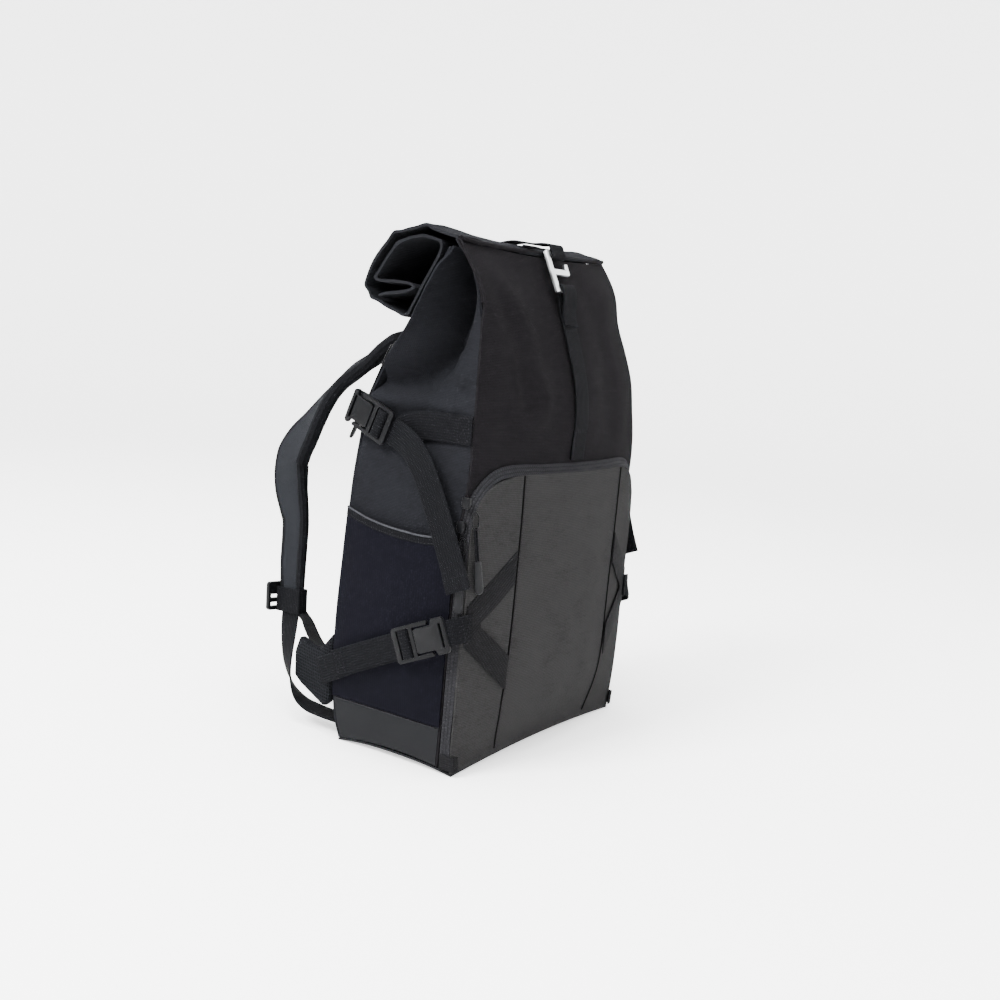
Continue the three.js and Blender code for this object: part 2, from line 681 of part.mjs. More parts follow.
function makeChevrons() {
  const outer = chevronRows.map((row) =>
    [0, 0.5, 1].map((share) => {
      const x = THREE.MathUtils.lerp(row.outX, row.inX, share) * bagWidth;
      const z = THREE.MathUtils.lerp(row.outZ, row.inZ, share) * pocketHeight;
      return vector(x, pocketFace(x, z) - chevronLift - chevronCloth, z);
    }),
  );
  addPair("pocket_chevron", sheet(outer, moved(outer, 0, chevronCloth, 0)), webbingCloth);
}

// Small coated tab wrapped round each front bottom corner.
const tabHeight = 14;
const tabReach = 7;
const tabCloth = 1.2;

function makeTabs() {
  const edge = bagWidth / 2;
  const front = pocketEdgeY - pieceGap;
  const back = pocketEdgeY + bandDepth;
  const low = floorAt(-edge, back) + pieceGap;
  const path = [
    [0, back],
    [0, front - tabCloth],
    [tabReach, front - tabCloth - 1],
  ];
  const outer = path.map(([inward, y]) =>
    [0, 0.5, 1].map((share) => {
      const z = low + tabHeight * share;
      return vector(-(edge - pocketTuck(z)) - 2 * pieceGap - tabCloth + inward, y, z);
    }),
  );
  const inner = outer.map((row, i) =>
    row.map((p) => vector(p.x + (i < 2 ? tabCloth : 0), p.y + (i > 0 ? tabCloth : 0), p.z)),
  );
  addPair("corner_tab", sheet(outer, inner), coatedCloth);
}

// Stretch pockets

const stretchBottom = coatedHeight + 1;

function stretchTop(u) {
  return THREE.MathUtils.lerp(stretchFront, stretchBack, u) - stretchDip * (1 - (2 * u - 1) ** 2);
}

function stretchPoint(u, z) {
  const at = shareAtHeight(backRise, z);
  const y = THREE.MathUtils.lerp(frontY(at) + 1, backY(at) - 1, u);
  const up = (z - stretchBottom) / (stretchBack - stretchBottom);
  const swell = stretchSwell * (1 - Math.abs(2 * u - 1) ** 3) * blend(up, -0.02, 0.22) * (1 - 0.25 * up);
  return vector(-half(at) - pieceGap - stretchCloth - swell, y, z);
}

function makeStretchPockets() {
  const across = [0, 0.06, 0.2, 0.4, 0.6, 0.8, 0.94, 1];
  const pocket = gridOf(across, [0, 0.08, 0.25, 0.6, 1], (u, v) =>
    stretchPoint(u, THREE.MathUtils.lerp(stretchBottom, stretchTop(u) - bindingWidth - pieceGap, v)),
  );
  addPair("stretch_pocket", sheet(pocket, moved(pocket, stretchCloth, 0, 0)), stretchFabric);
  const binding = gridOf(across, [0, 1], (u, v) => stretchPoint(u, stretchTop(u) - bindingWidth * (1 - v)));
  addPair("stretch_binding", sheet(moved(binding, -0.4, 0, 0), moved(binding, stretchCloth, 0, 0)), webbingCloth);
}

// Side-release buckles. Each lies in a frame: along points from the buckle's body to its ladder,
// out points away from the bag, and across lies over its width.

const slotWidth = webbingWidth + 1;
const slotLength = 5;

function socketShape(l) {
  const w = buckleWidth / 2;
  const notch = 5;
  const shoulder = ladderArm + 5;
  const shape = polygon([
    [-l, -w + 2],
    [-l + 2, -w],
    [-shoulder - 2, -w],
    [-shoulder, -w + notch],
    [-3, -w + notch],
    [0, -w + notch + 1],
    [0, w - notch - 1],
    [-3, w - notch],
    [-shoulder, w - notch],
    [-shoulder - 2, w],
    [-l + 2, w],
    [-l, w - 2],
  ]);
  const slotHalf = slotWidth / 2 - 2.4;
  shape.holes.push(rectangleHole(-l + buckleBar - 1, -slotHalf, -l + buckleBar + slotLength / 2 - 1, slotHalf));
  return shape;
}

function plugShape() {
  const w = buckleWidth / 2;
  const start = pieceGap + 0.7;
  const arm = 3.4;
  const shape = polygon([
    [start, -w + arm + 3],
    [start - 0.2, -w + arm],
    [-ladderArm, -w + arm + 0.6],
    [-ladderArm - 2, -w + arm - 1.6],
    [-ladderArm - 1, -w],
    [ladderLength - 2, -w],
    [ladderLength, -w + 2],
    [ladderLength, w - 2],
    [ladderLength - 2, w],
    [-ladderArm - 1, w],
    [-ladderArm - 2, w - arm + 1.6],
    [-ladderArm, w - arm - 0.6],
    [start - 0.2, w - arm],
    [start, w - arm - 3],
  ]);
  const first = start + buckleBar;
  const second = first + slotLength + buckleBar;
  shape.holes.push(rectangleHole(first, -slotWidth / 2, first + slotLength, slotWidth / 2));
  const outerSlot = slotWidth / 2 - 0.2;
  shape.holes.push(rectangleHole(second, -outerSlot, second + slotLength, outerSlot));
  return shape;
}

function buckle(name, frame, length) {
  const lift = 2 * webbingThick + 3 * pieceGap;
  const origin = frame.origin.clone().addScaledVector(frame.out, lift);
  addPair(`${name}_socket`, platePlaced(socketShape(length), buckleThick - lift, origin, frame.along, frame.across), plastic);
  addPair(`${name}_plug`, platePlaced(plugShape(), buckleThick - lift - 1, origin, frame.along, frame.across), plastic);
}

function frameOf(origin, along, out) {
  const a = along.clone().normalize();
  const o = out.clone().addScaledVector(a, -out.dot(a)).normalize();
  return { origin, along: a, out: o, across: new THREE.Vector3().crossVectors(o, a) };
}

const inFrame = (frame, s, n) => frame.origin.clone().addScaledVector(frame.along, s).addScaledVector(frame.out, n);

// The doubled webbing that holds a socket, and the height of its middle over the frame's face.
const doubledShare = (2 * webbingThick + pieceGap) / webbingThick;
const doubledMiddle = pieceGap + (doubledShare * webbingThick) / 2;

// The middle bar of the ladder, which the webbing goes round.
const barStart = pieceGap + 0.7 + buckleBar + slotLength;
const layer = webbingThick + pieceGap;

// The webbing's way through a ladder: in under both bars, up, round the middle bar and out as a tail.
function throughLadder(frame) {
  const low = pieceGap + webbingThick / 2;
  const top = buckleThick + 0.2;
  const around = [
    [ladderLength + 2, low],
    [barStart - 1, low],
    [barStart - 2.2, low + 1.2],
    [barStart - 2.2, top - 1.4],
    [barStart - 0.8, top],
    [barStart + buckleBar + 0.8, top],
    [barStart + buckleBar + 2.2, top - 1.4],
    [barStart + buckleBar + 2.6, low + layer + 1],
    [barStart + buckleBar + 4, low + layer],
    [ladderLength + 2, low + layer],
  ];
  return around.map(([s, n], i) => ({
    at: inFrame(frame, s, n),
    across: frame.across,
    mitre: i > 0 && i < around.length - 1 ? 1.15 : 1,
  }));
}

const outward = vector(-1, 0, 0);

// A row's place beside the -X side. out: how far off the side, share of webbingThick;
// y: share of bagDepth; z: share of bagHeight; leanY, leanZ: which way the webbing's edge lies.
const beside = ({ out, y, z }) => vector(-(bagWidth / 2 + out * webbingThick), y * bagDepth, z * bagHeight);
const laid = (row) => ({ at: beside(row), across: vector(0, row.leanY, row.leanZ), thick: row.thick });

// Upper side strap: horizontal from the front seam, through the ladder, and its tail hanging down.
const upperStrapHigh = 0.6387;
const upperFrame = frameOf(beside({ out: 0.875, y: 0.3594, z: 0.6397 }), vector(-0.06, -0.93, -0.36), outward);
const upperTailRows = [
  { out: 5, y: 0.0469, z: 0.6071, leanY: -0.45, leanZ: 0.9, thick: 1 },
  { out: 6.5625, y: -0.0469, z: 0.5924, leanY: -0.62, leanZ: 0.78, thick: 1 },
  { out: 7.5, y: -0.1406, z: 0.5651, leanY: -0.82, leanZ: 0.57, thick: 1 },
  { out: 7.8125, y: -0.2422, z: 0.5189, leanY: -0.92, leanZ: 0.4, thick: 1 },
  { out: 7.1875, y: -0.3438, z: 0.4601, leanY: -0.93, leanZ: 0.36, thick: 1 },
  { out: 5.625, y: -0.4375, z: 0.395, leanY: -0.93, leanZ: 0.36, thick: 1 },
  { out: 5, y: -0.4766, z: 0.3676, leanY: -0.93, leanZ: 0.36, thick: 1.6 },
  { out: 5, y: -0.5, z: 0.3529, leanY: -0.93, leanZ: 0.36, thick: 1.6 },
];

function makeUpperStrap() {
  const face = -(bagWidth / 2 + pieceGap + webbingThick / 2 + 0.2);
  const high = upperStrapHigh * bagHeight;
  const up = vector(0, 0, 1);
  const start = [
    { at: vector(face, frontY(0.64) + 4, high), across: up },
    { at: vector(face, -0.156 * bagDepth, high), across: up },
    { at: vector(face, 0.0156 * bagDepth, high - 2), across: vector(0, -0.15, 1) },
  ];
  const points = [...start, ...throughLadder(upperFrame), ...upperTailRows.map(laid)];
  addPair("upper_strap", ribbon(points, webbingWidth, webbingThick), webbingCloth);
  buckle("upper_buckle", upperFrame, upperSocketLength);
}

// Lower side strap: from the hip wing up to the ladder, its tail lying back along it.
const lowerFrame = frameOf(beside({ out: 6.5, y: -0.2344, z: 0.2489 }), vector(0, 0.92, -0.4), outward);
const lowerStartRows = [
  { out: 2.625, y: 0.6719, z: 0.1324, leanY: -0.4, leanZ: -0.92, thick: 1 },
  { out: 4.375, y: 0.5469, z: 0.1492, leanY: -0.4, leanZ: -0.92, thick: 1 },
  { out: 6.375, y: 0.375, z: 0.1733, leanY: -0.4, leanZ: -0.92, thick: 1 },
  { out: 6.75, y: 0.0938, z: 0.209, leanY: -0.4, leanZ: -0.92, thick: 1 },
];
const lowerTailRows = [
  { out: 8.4375, y: 0.0938, z: 0.2101, leanY: -0.4, leanZ: -0.92, thick: 1 },
  { out: 8.625, y: 0.2813, z: 0.187, leanY: -0.4, leanZ: -0.92, thick: 1 },
  { out: 8, y: 0.4219, z: 0.1691, leanY: -0.4, leanZ: -0.92, thick: 1.6 },
  { out: 7.875, y: 0.4844, z: 0.1618, leanY: -0.4, leanZ: -0.92, thick: 1.6 },
];

function makeLowerStrap() {
  const points = [...lowerStartRows.map(laid), ...throughLadder(lowerFrame), ...lowerTailRows.map(laid)];
  addPair("lower_strap", ribbon(points, webbingWidth, webbingThick), webbingCloth);
  buckle("lower_buckle", lowerFrame, lowerSocketLength);

  const high = 0.2857 * bagHeight;
  const onFace = (x) => pocketFace(x, high) - chevronLift - chevronCloth - 2 * pieceGap - webbingThick / 2;
  const edge = -(bagWidth / 2);
  const { across } = lowerFrame;
  const anchor = [
    { at: inFrame(lowerFrame, 12 - lowerSocketLength, doubledMiddle), across, thick: doubledShare },
    { at: inFrame(lowerFrame, -lowerSocketLength - 2, doubledMiddle), across, thick: doubledShare },
    { at: beside({ out: 3.4375, y: -0.5352, z: 0.2836 }), across: vector(0, -0.1, -1) },
    { at: vector(edge - 1, onFace(edge) - 0.3, high), across: vector(0, 0, -1) },
    { at: vector(edge + 6, onFace(edge + 6), high), across: vector(0, 0, -1) },
  ];
  addPair("lower_strap_anchor", ribbon(anchor, webbingWidth * 0.92, webbingThick), webbingCloth);
}

// Short webbing that holds the upper socket at the back seam.
function makeUpperAnchor() {
  const { across } = upperFrame;
  const under = bagWidth / 2 - 8;
  const high = 0.657 * bagHeight;
  const end = -upperSocketLength;
  const points = [
    { at: inFrame(upperFrame, end + 10, doubledMiddle), across, thick: doubledShare },
    { at: inFrame(upperFrame, end - 1, doubledMiddle), across, thick: doubledShare },
    { at: inFrame(upperFrame, end - 5, webbingThick / 2), across },
    { at: inFrame(upperFrame, end - 7, -1.6 * webbingThick), across },
    { at: inFrame(upperFrame, end - 4.5, -4 * webbingThick), across },
    { at: vector(-under, backAt(under, high) + 8, high), across },
  ];
  addPair("upper_strap_anchor", ribbon(points, webbingWidth * 0.92, webbingThick), webbingCloth);
}

// Top closure: a strap over the roll, a hook, and a front strap with a loop

const hookFoot = vector(closureX - 2, -0.3875 * bagDepth, 0.908 * bagHeight);
const hookUp = vector(0, 18, 38).normalize();
const hookOut = vector(0, -38, 18).normalize();
const onHook = (up, out) => hookFoot.clone().addScaledVector(hookUp, up).addScaledVector(hookOut, out);
const onLoop = (up, out) => onHook(up, out).setX(closureX);

function makeHook() {
  const w = hookWidth / 2;
  const b = hookBar;
  const h = hookLength;
  const middle = h * 0.42;
  const stub = middle + b + 6;
  const shape = polygon([
    [-w + 1, 0],
    [w - 9, 0],
    [w - 8, b * 0.8],
    [-w + b, b],
    [-w + b, middle],
    [w - 1, middle],
    [w, middle + 1.5],
    [w, stub],
    [w - b * 0.8, stub],
    [w - b, middle + b],
    [-w + b, middle + b],
    [-w + b, h - b],
    [w - 4, h - b],
    [w - 1, h - b - 0.8],
    [w + 1, h - b],
    [w - 3, h],
    [-w + 2, h],
    [-w, h - 2],
    [-w, 1],
  ]);
  const origin = onHook(0, -hookThick / 2);
  add("closure_hook", platePlaced(shape, hookThick, origin, vector(1, 0, 0), hookUp), metal);
}

function makeFrontStrap() {
  const sideways = vector(1, 0, 0);
  const lift = pieceGap + webbingThick / 2 + 0.2;
  const top = 0.8697 * bagHeight;
  const up = steps(8).map((share) => {
    const z = THREE.MathUtils.lerp(pocketHeight + 2.5, top, share);
    return { at: vector(closureX, frontAt(closureX, z) - lift, z), across: sideways };
  });
  const doubled = (z) => vector(closureX, frontAt(closureX, z) - lift - layer - 0.3, z);
  const bar = hookBar / 2;
  const reach = hookThick / 2 + pieceGap + webbingThick / 2 + 0.3;
  const loop = [
    { at: onLoop(bar - 4, -reach), across: sideways },
    { at: onLoop(bar + 2, -reach), across: sideways },
    { at: onLoop(bar + 4.4, -reach + 1.6), across: sideways, mitre: 1.1 },
    { at: onLoop(bar + 4.4, reach - 1.6), across: sideways, mitre: 1.1 },
    { at: onLoop(bar + 2, reach), across: sideways },
    { at: onLoop(bar - 5, reach), across: sideways },
    { at: onLoop(bar - 11, reach - 2), across: sideways },
    { at: doubled(top - 4), across: sideways },
    { at: doubled(top - 12), across: sideways },
  ];
  add("closure_front_strap", ribbon([...up, ...loop], webbingWidth, webbingThick), webbingCloth);
}

// The rear strap starts under the roll, lies on it up its back and arches free to the hook.
const strapRollFirst = 10;
const strapRollLast = 5;
// y: share of bagDepth; z: share of bagHeight.
const archRows = [
  { y: 0.37, z: 0.9775 },
  { y: 0.2, z: 0.9965 },
  { y: 0.06, z: 1.0035 },
  { y: -0.09, z: 0.9995 },
];

function rollPoint(index, lift) {
  const at = (i) => vector(0, rollRows[i].y * bagDepth, rollRows[i].z * bagHeight);
  const along = at(index + 1).sub(at(index - 1)).normalize();
  return at(index).add(vector(0, -along.z, along.y).multiplyScalar(lift));
}

function makeRearStrap() {
  const sideways = vector(1, 0, 0);
  const lift = rollCloth / 2 + webbingThick / 2 + pieceGap + 0.5;
  const onRoll = [];
  for (let i = strapRollFirst; i >= strapRollLast; i -= 1) onRoll.push(rollPoint(i, lift));
  const root = vector(0, backAt(0, 0.811 * bagHeight) + 1.6, 0.812 * bagHeight);
  const arch = archRows.map((row) => vector(0, row.y * bagDepth, row.z * bagHeight));
  const over = [root, ...onRoll, ...arch].map((p) => ({ at: vector(closureX, p.y, p.z), across: sideways }));
  const bar = hookLength - hookBar / 2;
  const reach = hookThick / 2 + pieceGap + webbingThick / 2 + 0.3;
  const loop = [
    { at: onLoop(bar + 7, reach - 0.2), across: sideways },
    { at: onLoop(bar + 3, reach), across: sideways },
    { at: onLoop(bar - 3, reach), across: sideways },
    { at: onLoop(bar - 4.6, reach - 1.8), across: sideways, mitre: 1.15 },
    { at: onLoop(bar - 4.6, -reach + 1.8), across: sideways, mitre: 1.15 },
    { at: onLoop(bar - 3, -reach), across: sideways },
    { at: onLoop(bar + 4, -reach), across: sideways },
    { at: vector(closureX, -0.1 * bagDepth, 0.992 * bagHeight), across: sideways },
    { at: vector(closureX, -0.03 * bagDepth, 0.9958 * bagHeight), across: sideways },
  ];
  add("closure_rear_strap", ribbon([...over, ...loop], webbingWidth, webbingThick), webbingCloth);
}

// Harness

function makeHarness() {
  addPair("shoulder_pad", ribbon(routeOf(padRows, 2), padWidth, padThick, 8), frontCloth);
  addPair("shoulder_webbing", ribbon(routeOf(webbingRows, 3), webbingWidth, webbingThick), webbingCloth);
  makeKeeper();
  makeAdjuster();
  const inner = keeperHalfDeep + keeperWall + 2 * pieceGap + webbingThick / 2;
  const root = padTip.at.clone().addScaledVector(keeperOut, inner * Math.sign(keeperOut.x));
  const halfStrap = routeOf(sternumRows, 2);
  halfStrap[0].at.copy(root.addScaledVector(keeperUp, 4));
  halfStrap[0].across.copy(keeperAcross);
  halfStrap[1].at.copy(halfStrap[0].at).addScaledVector(keeperUp, -7);
  halfStrap[1].across.copy(keeperAcross);
  const otherHalf = halfStrap.slice(0, -1).map(({ at, across }) => ({
    at: vector(-at.x, at.y, at.z),
    across: vector(-across.x, across.y, across.z),
  }));
  add("sternum_strap", ribbon([...halfStrap, ...otherHalf.reverse()], sternumWidth, webbingThick), webbingCloth);
}

// The lower end of the pad, and the frame that the keeper and the adjuster take from it.
const padEnd = padRows[padRows.length - 1];
const padRoute = routeOf(padRows, 2);
const padTip = padRoute[padRoute.length - 1];
const keeperUp = padRoute[padRoute.length - 2].at.clone().sub(padTip.at).normalize();
const keeperAcross = padTip.across.clone().addScaledVector(keeperUp, -padTip.across.dot(keeperUp)).normalize();
const keeperOut = new THREE.Vector3().crossVectors(keeperUp, keeperAcross);
const keeperSlack = 0.8;
const keeperHalfWide = (padWidth * padEnd.wide) / 2 + keeperSlack;
const keeperHalfDeep = (padThick * padEnd.thick) / 2 + keeperSlack;

// A flat sleeve of webbing round the lower end of the pad.
function makeKeeper() {
  const ring = (grow) => [
    [-keeperHalfWide - grow, -keeperHalfDeep - grow],
    [keeperHalfWide + grow, -keeperHalfDeep - grow],
    [keeperHalfWide + grow, keeperHalfDeep + grow],
    [-keeperHalfWide - grow, keeperHalfDeep + grow],
  ];
  const shape = polygon(ring(keeperWall));
  shape.holes.push(rectangleHole(-keeperHalfWide, -keeperHalfDeep, keeperHalfWide, keeperHalfDeep));
  const origin = padTip.at.clone().addScaledVector(keeperUp, -keeperHeight * 0.35);
  const along = keeperAcross.clone();
  addPair("strap_keeper", platePlaced(shape, keeperHeight, origin, along, keeperOut), webbingCloth);
}

// The ladder-lock that lies against the keeper's outer edge.
const adjusterHalf = 15;
const adjusterLength = 28;
const adjusterThick = 4;

function makeAdjuster() {
  const w = adjusterHalf;
  const l = adjusterLength;
  const shape = polygon([
    [-w, 2],
    [-w + 2, 0],
    [w - 2, 0],
    [w, 2],
    [w, l - 2],
    [w - 2, l],
    [-w + 2, l],
    [-w, l - 2],
  ]);
  const slot = w - 3;
  shape.holes.push(rectangleHole(-slot, 4, slot, 7.6));
  shape.holes.push(rectangleHole(-slot + 0.2, 12, slot - 0.2, 15.6));
  const origin = padTip.at
    .clone()
    .addScaledVector(keeperAcross, keeperHalfWide + keeperWall + pieceGap)
    .addScaledVector(keeperUp, -8);
  const plate = platePlaced(shape, adjusterThick, origin, keeperOut, keeperUp);
  addPair("strap_adjuster", plate, plastic);
}

// Hip wings and back pads

function makeWings() {
  const lean = 0.3;
  const start = backY(0.23) + lean * wingThick + 3 * pieceGap;
  const stretch = Math.hypot(1, lean);
  const shape = polygon(wingRows.map((row) => [row.out * bagDepth * stretch, row.z * bagHeight]));
  const origin = vector(-(bagWidth / 2 - 1.5), start, 0);
  const wing = platePlaced(shape, wingThick, origin, vector(lean, 1, 0), vector(0, 0, 1));
  addPair("hip_wing", wing, meshCloth);
}

const seatGap = 0.7;

function padOnBack(name, halfWidth, low, high, thick) {
  const across = [-1, -0.9, -0.5, 0, 0.5, 0.9, 1];
  const up = steps(Math.round((high - low) / 24));
  const face = gridOf(across, up, (u, v) => {
    const x = u * halfWidth;
    const z = THREE.MathUtils.lerp(low, high, v);
    const edge = (Math.abs(u) === 1 ? 0.4 : 1) * (v === 0 || v === 1 ? 0.45 : 1);
    return vector(x, backAt(x, z) + seatGap + thick * edge, z);
  });
  const seat = gridOf(across, up, (u, v) => {
    const x = u * halfWidth;
    const z = THREE.MathUtils.lerp(low, high, v);
    return vector(x, backAt(x, z) + seatGap, z);
  });
  add(name, sheet(face, seat), meshCloth);
}

function makeBackPads() {
  padOnBack("lumbar_pad", 0.4267 * bagWidth, 0.0966 * bagHeight, 0.2689 * bagHeight, lumbarThick);
  padOnBack("back_pad", 0.3733 * bagWidth, 0.2983 * bagHeight, 0.6765 * bagHeight, backPadThick);
}

// Zip sliders and pulls

function zipPull(name, top, bottom, across) {
  const points = pullRows.map((row) => ({
    at: top.clone().lerp(bottom, row.along),
    across,
    wide: row.wide,
    thick: row.wide < 0.5 ? 0.8 : 1,
  }));
  add(name, ribbon(points, pullTabWidth, pullThick, 8), rubber);
}

function zipSlider(name, centre, across, up) {
  const w = sliderWidth / 2;
  const shape = polygon([
    [-w * 0.6, -w],
    [w * 0.6, -w],
    [w, 0],
    [w * 0.8, w * 1.2],
    [-w * 0.8, w * 1.2],
    [-w, 0],
  ]);
  add(name, platePlaced(shape, 4, centre, across, up), plastic);
}

function makeZips() {
  const up = vector(0, 0, 1);
  const edge = -(bagWidth / 2);
  const frontFace = (x, z) => pocketFace(x, z) - pieceGap - pullThick / 2 - 0.2;
  const sliderX = -half(0.5) - 2 * pieceGap;
  const high = 0.8836 * pocketHeight;
  const low = 0.6 * pocketHeight;
  zipSlider("pocket_slider_upper", vector(sliderX, pocketEdgeY + 5, high), vector(0, -1, 0), up);
  const topX = edge - 1;
  const lowX = edge + 10;
  zipPull(
    "pocket_pull_upper",
    vector(topX, frontFace(topX, high - 5) - 0.4, high - 5),
    vector(lowX, frontFace(lowX, low) - chevronCloth - 1.4, low),
    vector(1, -0.27, 0),
  );
  const sideFace = edge - pieceGap - pullThick / 2 - 0.3;
  zipSlider("pocket_slider_lower", vector(sliderX, pocketEdgeY + 8, high - 21), vector(0, -1, 0), up);
  zipPull(
    "pocket_pull_lower",
    vector(sideFace, pocketEdgeY + 6, high - 29),
    vector(sideFace - 0.6, pocketEdgeY + 4, low - 18),
    vector(0, 1, 0),
  );
  const backX = edge + 9;
  const backZ = 0.771 * bagHeight;
  const seat = backAt(backX, backZ);
  const hanging = vector(backX + 15, seat + 0.467 * bagDepth, backZ - 0.183 * bagHeight);
  zipSlider("back_slider", vector(backX, seat + 1.1, backZ), vector(-1, 0, 0), vector(0, -0.53, 0.85));
  zipPull("back_pull", vector(backX, seat + 7.9, backZ + 2.8), hanging, vector(0.9, 0.4, 0));
}

makeBase();
makeFront();
makeBack();
makeSides();
makeRoll();
makePocket();
makeBand();
makeChevrons();
makeTabs();
makeStretchPockets();
makeUpperStrap();
makeUpperAnchor();
makeLowerStrap();
makeHook();
makeFrontStrap();
makeRearStrap();
makeHarness();
makeWings();
makeBackPads();
makeZips();

export default group;
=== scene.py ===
"""Roll-top camera backpack, dressed in cloth, webbing, plastic and metal on a pale studio floor.

Metres. +Z is up, -Y is the front with the pocket, the origin is on the floor under the bag.
"""

import math

import bmesh
import bpy
import numpy as np
from mathutils import Matrix, Vector, noise
from mathutils.bvhtree import BVHTree


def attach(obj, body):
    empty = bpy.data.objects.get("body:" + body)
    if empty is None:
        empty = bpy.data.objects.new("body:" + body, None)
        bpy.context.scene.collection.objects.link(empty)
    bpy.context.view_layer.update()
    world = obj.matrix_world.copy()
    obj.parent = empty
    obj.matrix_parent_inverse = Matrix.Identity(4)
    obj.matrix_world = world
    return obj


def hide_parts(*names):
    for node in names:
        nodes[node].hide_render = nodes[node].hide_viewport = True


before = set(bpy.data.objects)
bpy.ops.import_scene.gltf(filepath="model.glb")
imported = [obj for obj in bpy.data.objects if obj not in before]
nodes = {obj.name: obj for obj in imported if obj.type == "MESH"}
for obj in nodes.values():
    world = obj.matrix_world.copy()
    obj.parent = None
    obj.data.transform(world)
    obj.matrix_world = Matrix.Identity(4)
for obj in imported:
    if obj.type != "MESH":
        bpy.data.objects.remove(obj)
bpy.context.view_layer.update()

MM = 0.001
SIDES = ("left", "right")


# Camera, floor and light


def place_camera():
    azimuth, elevation, roll = math.radians(-57.59), math.radians(7.8), math.radians(5.24)
    back = Vector(
        (
            math.sin(azimuth) * math.cos(elevation),
            -math.cos(azimuth) * math.cos(elevation),
            math.sin(elevation),
        )
    )
    eye = Vector((-0.00508, 0, 0.22732)) + back * 1.15326
    level = (-back).cross(Vector((0, 0, 1))).normalized()
    upright = level.cross(-back)
    right = level * math.cos(roll) + upright * math.sin(roll)
    up = upright * math.cos(roll) - level * math.sin(roll)
    data = bpy.data.cameras.new("studio_camera")
    data.sensor_width = 36
    data.lens = 42.41
    data.clip_end = 60
    camera = bpy.data.objects.new("studio_camera", data)
    camera.matrix_world = Matrix.Translation(eye) @ Matrix((right, up, back)).transposed().to_4x4()
    bpy.context.scene.collection.objects.link(camera)
    bpy.context.scene.camera = camera


def pale_paint():
    material = bpy.data.materials.new("pale_backdrop")
    material.use_nodes = True
    shader = material.node_tree.nodes["Principled BSDF"]
    shader.inputs["Base Color"].default_value = (0.85, 0.85, 0.85, 1)
    shader.inputs["Emission Color"].default_value = (1, 1, 1, 1)
    shader.inputs["Emission Strength"].default_value = 0.8
    shader.inputs["Roughness"].default_value = 0.9
    shader.inputs["Specular IOR Level"].default_value = 0.1
    return material


def lay_floor():
    """A round floor whose rim sweeps up into a pale wall."""
    profile = [(0.0, 0.0), (2.6, 0.0), (3.0, 0.06), (3.3, 0.25), (3.5, 0.6), (3.6, 1.2), (3.6, 3.4)]
    turns = 72
    points = [(0, 0, 0)]
    for radius, height in profile[1:]:
        for k in range(turns):
            angle = 2 * math.pi * k / turns
            points.append((radius * math.cos(angle), radius * math.sin(angle), height - 0.0002))
    faces = [(0, 1 + k, 1 + (k + 1) % turns) for k in range(turns)]
    for ring in range(len(profile) - 2):
        low = 1 + ring * turns
        for k in range(turns):
            after = (k + 1) % turns
            faces.append((low + k, low + turns + k, low + turns + after, low + after))
    mesh = bpy.data.meshes.new("studio_floor")
    mesh.from_pydata(points, [], faces)
    floor = bpy.data.objects.new("studio_floor", mesh)
    bpy.context.scene.collection.objects.link(floor)
    mesh.materials.append(pale_paint())
    mesh.shade_smooth()


def soft_light(name, place, aim, size, power):
    data = bpy.data.lights.new(name, "AREA")
    data.shape = "RECTANGLE"
    data.size, data.size_y = size
    data.energy = power
    light = bpy.data.objects.new(name, data)
    facing = (Vector(place) - Vector(aim)).normalized()
    light.matrix_world = Matrix.Translation(place) @ facing.to_track_quat("Z", "Y").to_matrix().to_4x4()
    bpy.context.scene.collection.objects.link(light)


def light_studio():
    world = bpy.data.worlds.new("studio_air")
    world.use_nodes = True
    air = world.node_tree.nodes["Background"]
    air.inputs["Color"].default_value = (1, 1, 1, 1)
    air.inputs["Strength"].default_value = 1.5
    bpy.context.scene.world = world
    soft_light("overhead_softbox", (-0.3, 0.1, 2.4), (0, 0, 0.2), (1.4, 1.4), 140)
    soft_light("left_softbox", (-1.7, 0.5, 2.0), (0, 0, 0.3), (0.7, 0.9), 190)
    soft_light("front_softbox", (1.0, -2.4, 1.3), (0, 0, 0.25), (1.4, 1.4), 26)


# Shader pieces


class Sheet:
    """A node sheet being filled in: each call adds one node and wires its inputs."""

    def __init__(self, tree):
        self.tree = tree

    def add(self, kind, settings=(), **inputs):
        node = self.tree.nodes.new(kind)
        for name, value in dict(settings).items():
            setattr(node, name, value)
        for name, value in inputs.items():
            socket = node.inputs[int(name[1:])] if name[0] == "i" and name[1:].isdigit() else node.inputs[name]
            self.wire(value, socket)
        return node

    def wire(self, value, socket):
        if isinstance(value, bpy.types.NodeSocket):
            self.tree.links.new(value, socket)
        elif hasattr(value, "__len__") and len(value) == 3 and socket.type == "RGBA":
            socket.default_value = (*value, 1)
        else:
            socket.default_value = value

    def maths(self, operation, a, b=0.0, c=0.0):
        node = self.add("ShaderNodeMath", {"operation": operation}, i0=a, i1=b, i2=c)
        return node.outputs[0]

    def noise(self, vector, scale, detail=2.0, rough=0.5):
        node = self.add("ShaderNodeTexNoise", Vector=vector, Scale=scale, Detail=detail, Roughness=rough)
        return node.outputs[0]

    def ramp(self, value, low, high, to_low=0.0, to_high=1.0):
        node = self.add("ShaderNodeMapRange")
        for name, given in zip(
            ("Value", "From Min", "From Max", "To Min", "To Max"), (value, low, high, to_low, to_high)
        ):
            self.wire(given, node.inputs[name])
        return node.outputs[0]

    def blend(self, share, first, second):
        node = self.add("ShaderNodeMix", {"data_type": "RGBA"})
        self.wire(share, node.inputs[0])
        self.wire(first, node.inputs[6])
        self.wire(second, node.inputs[7])
        return node.outputs[2]


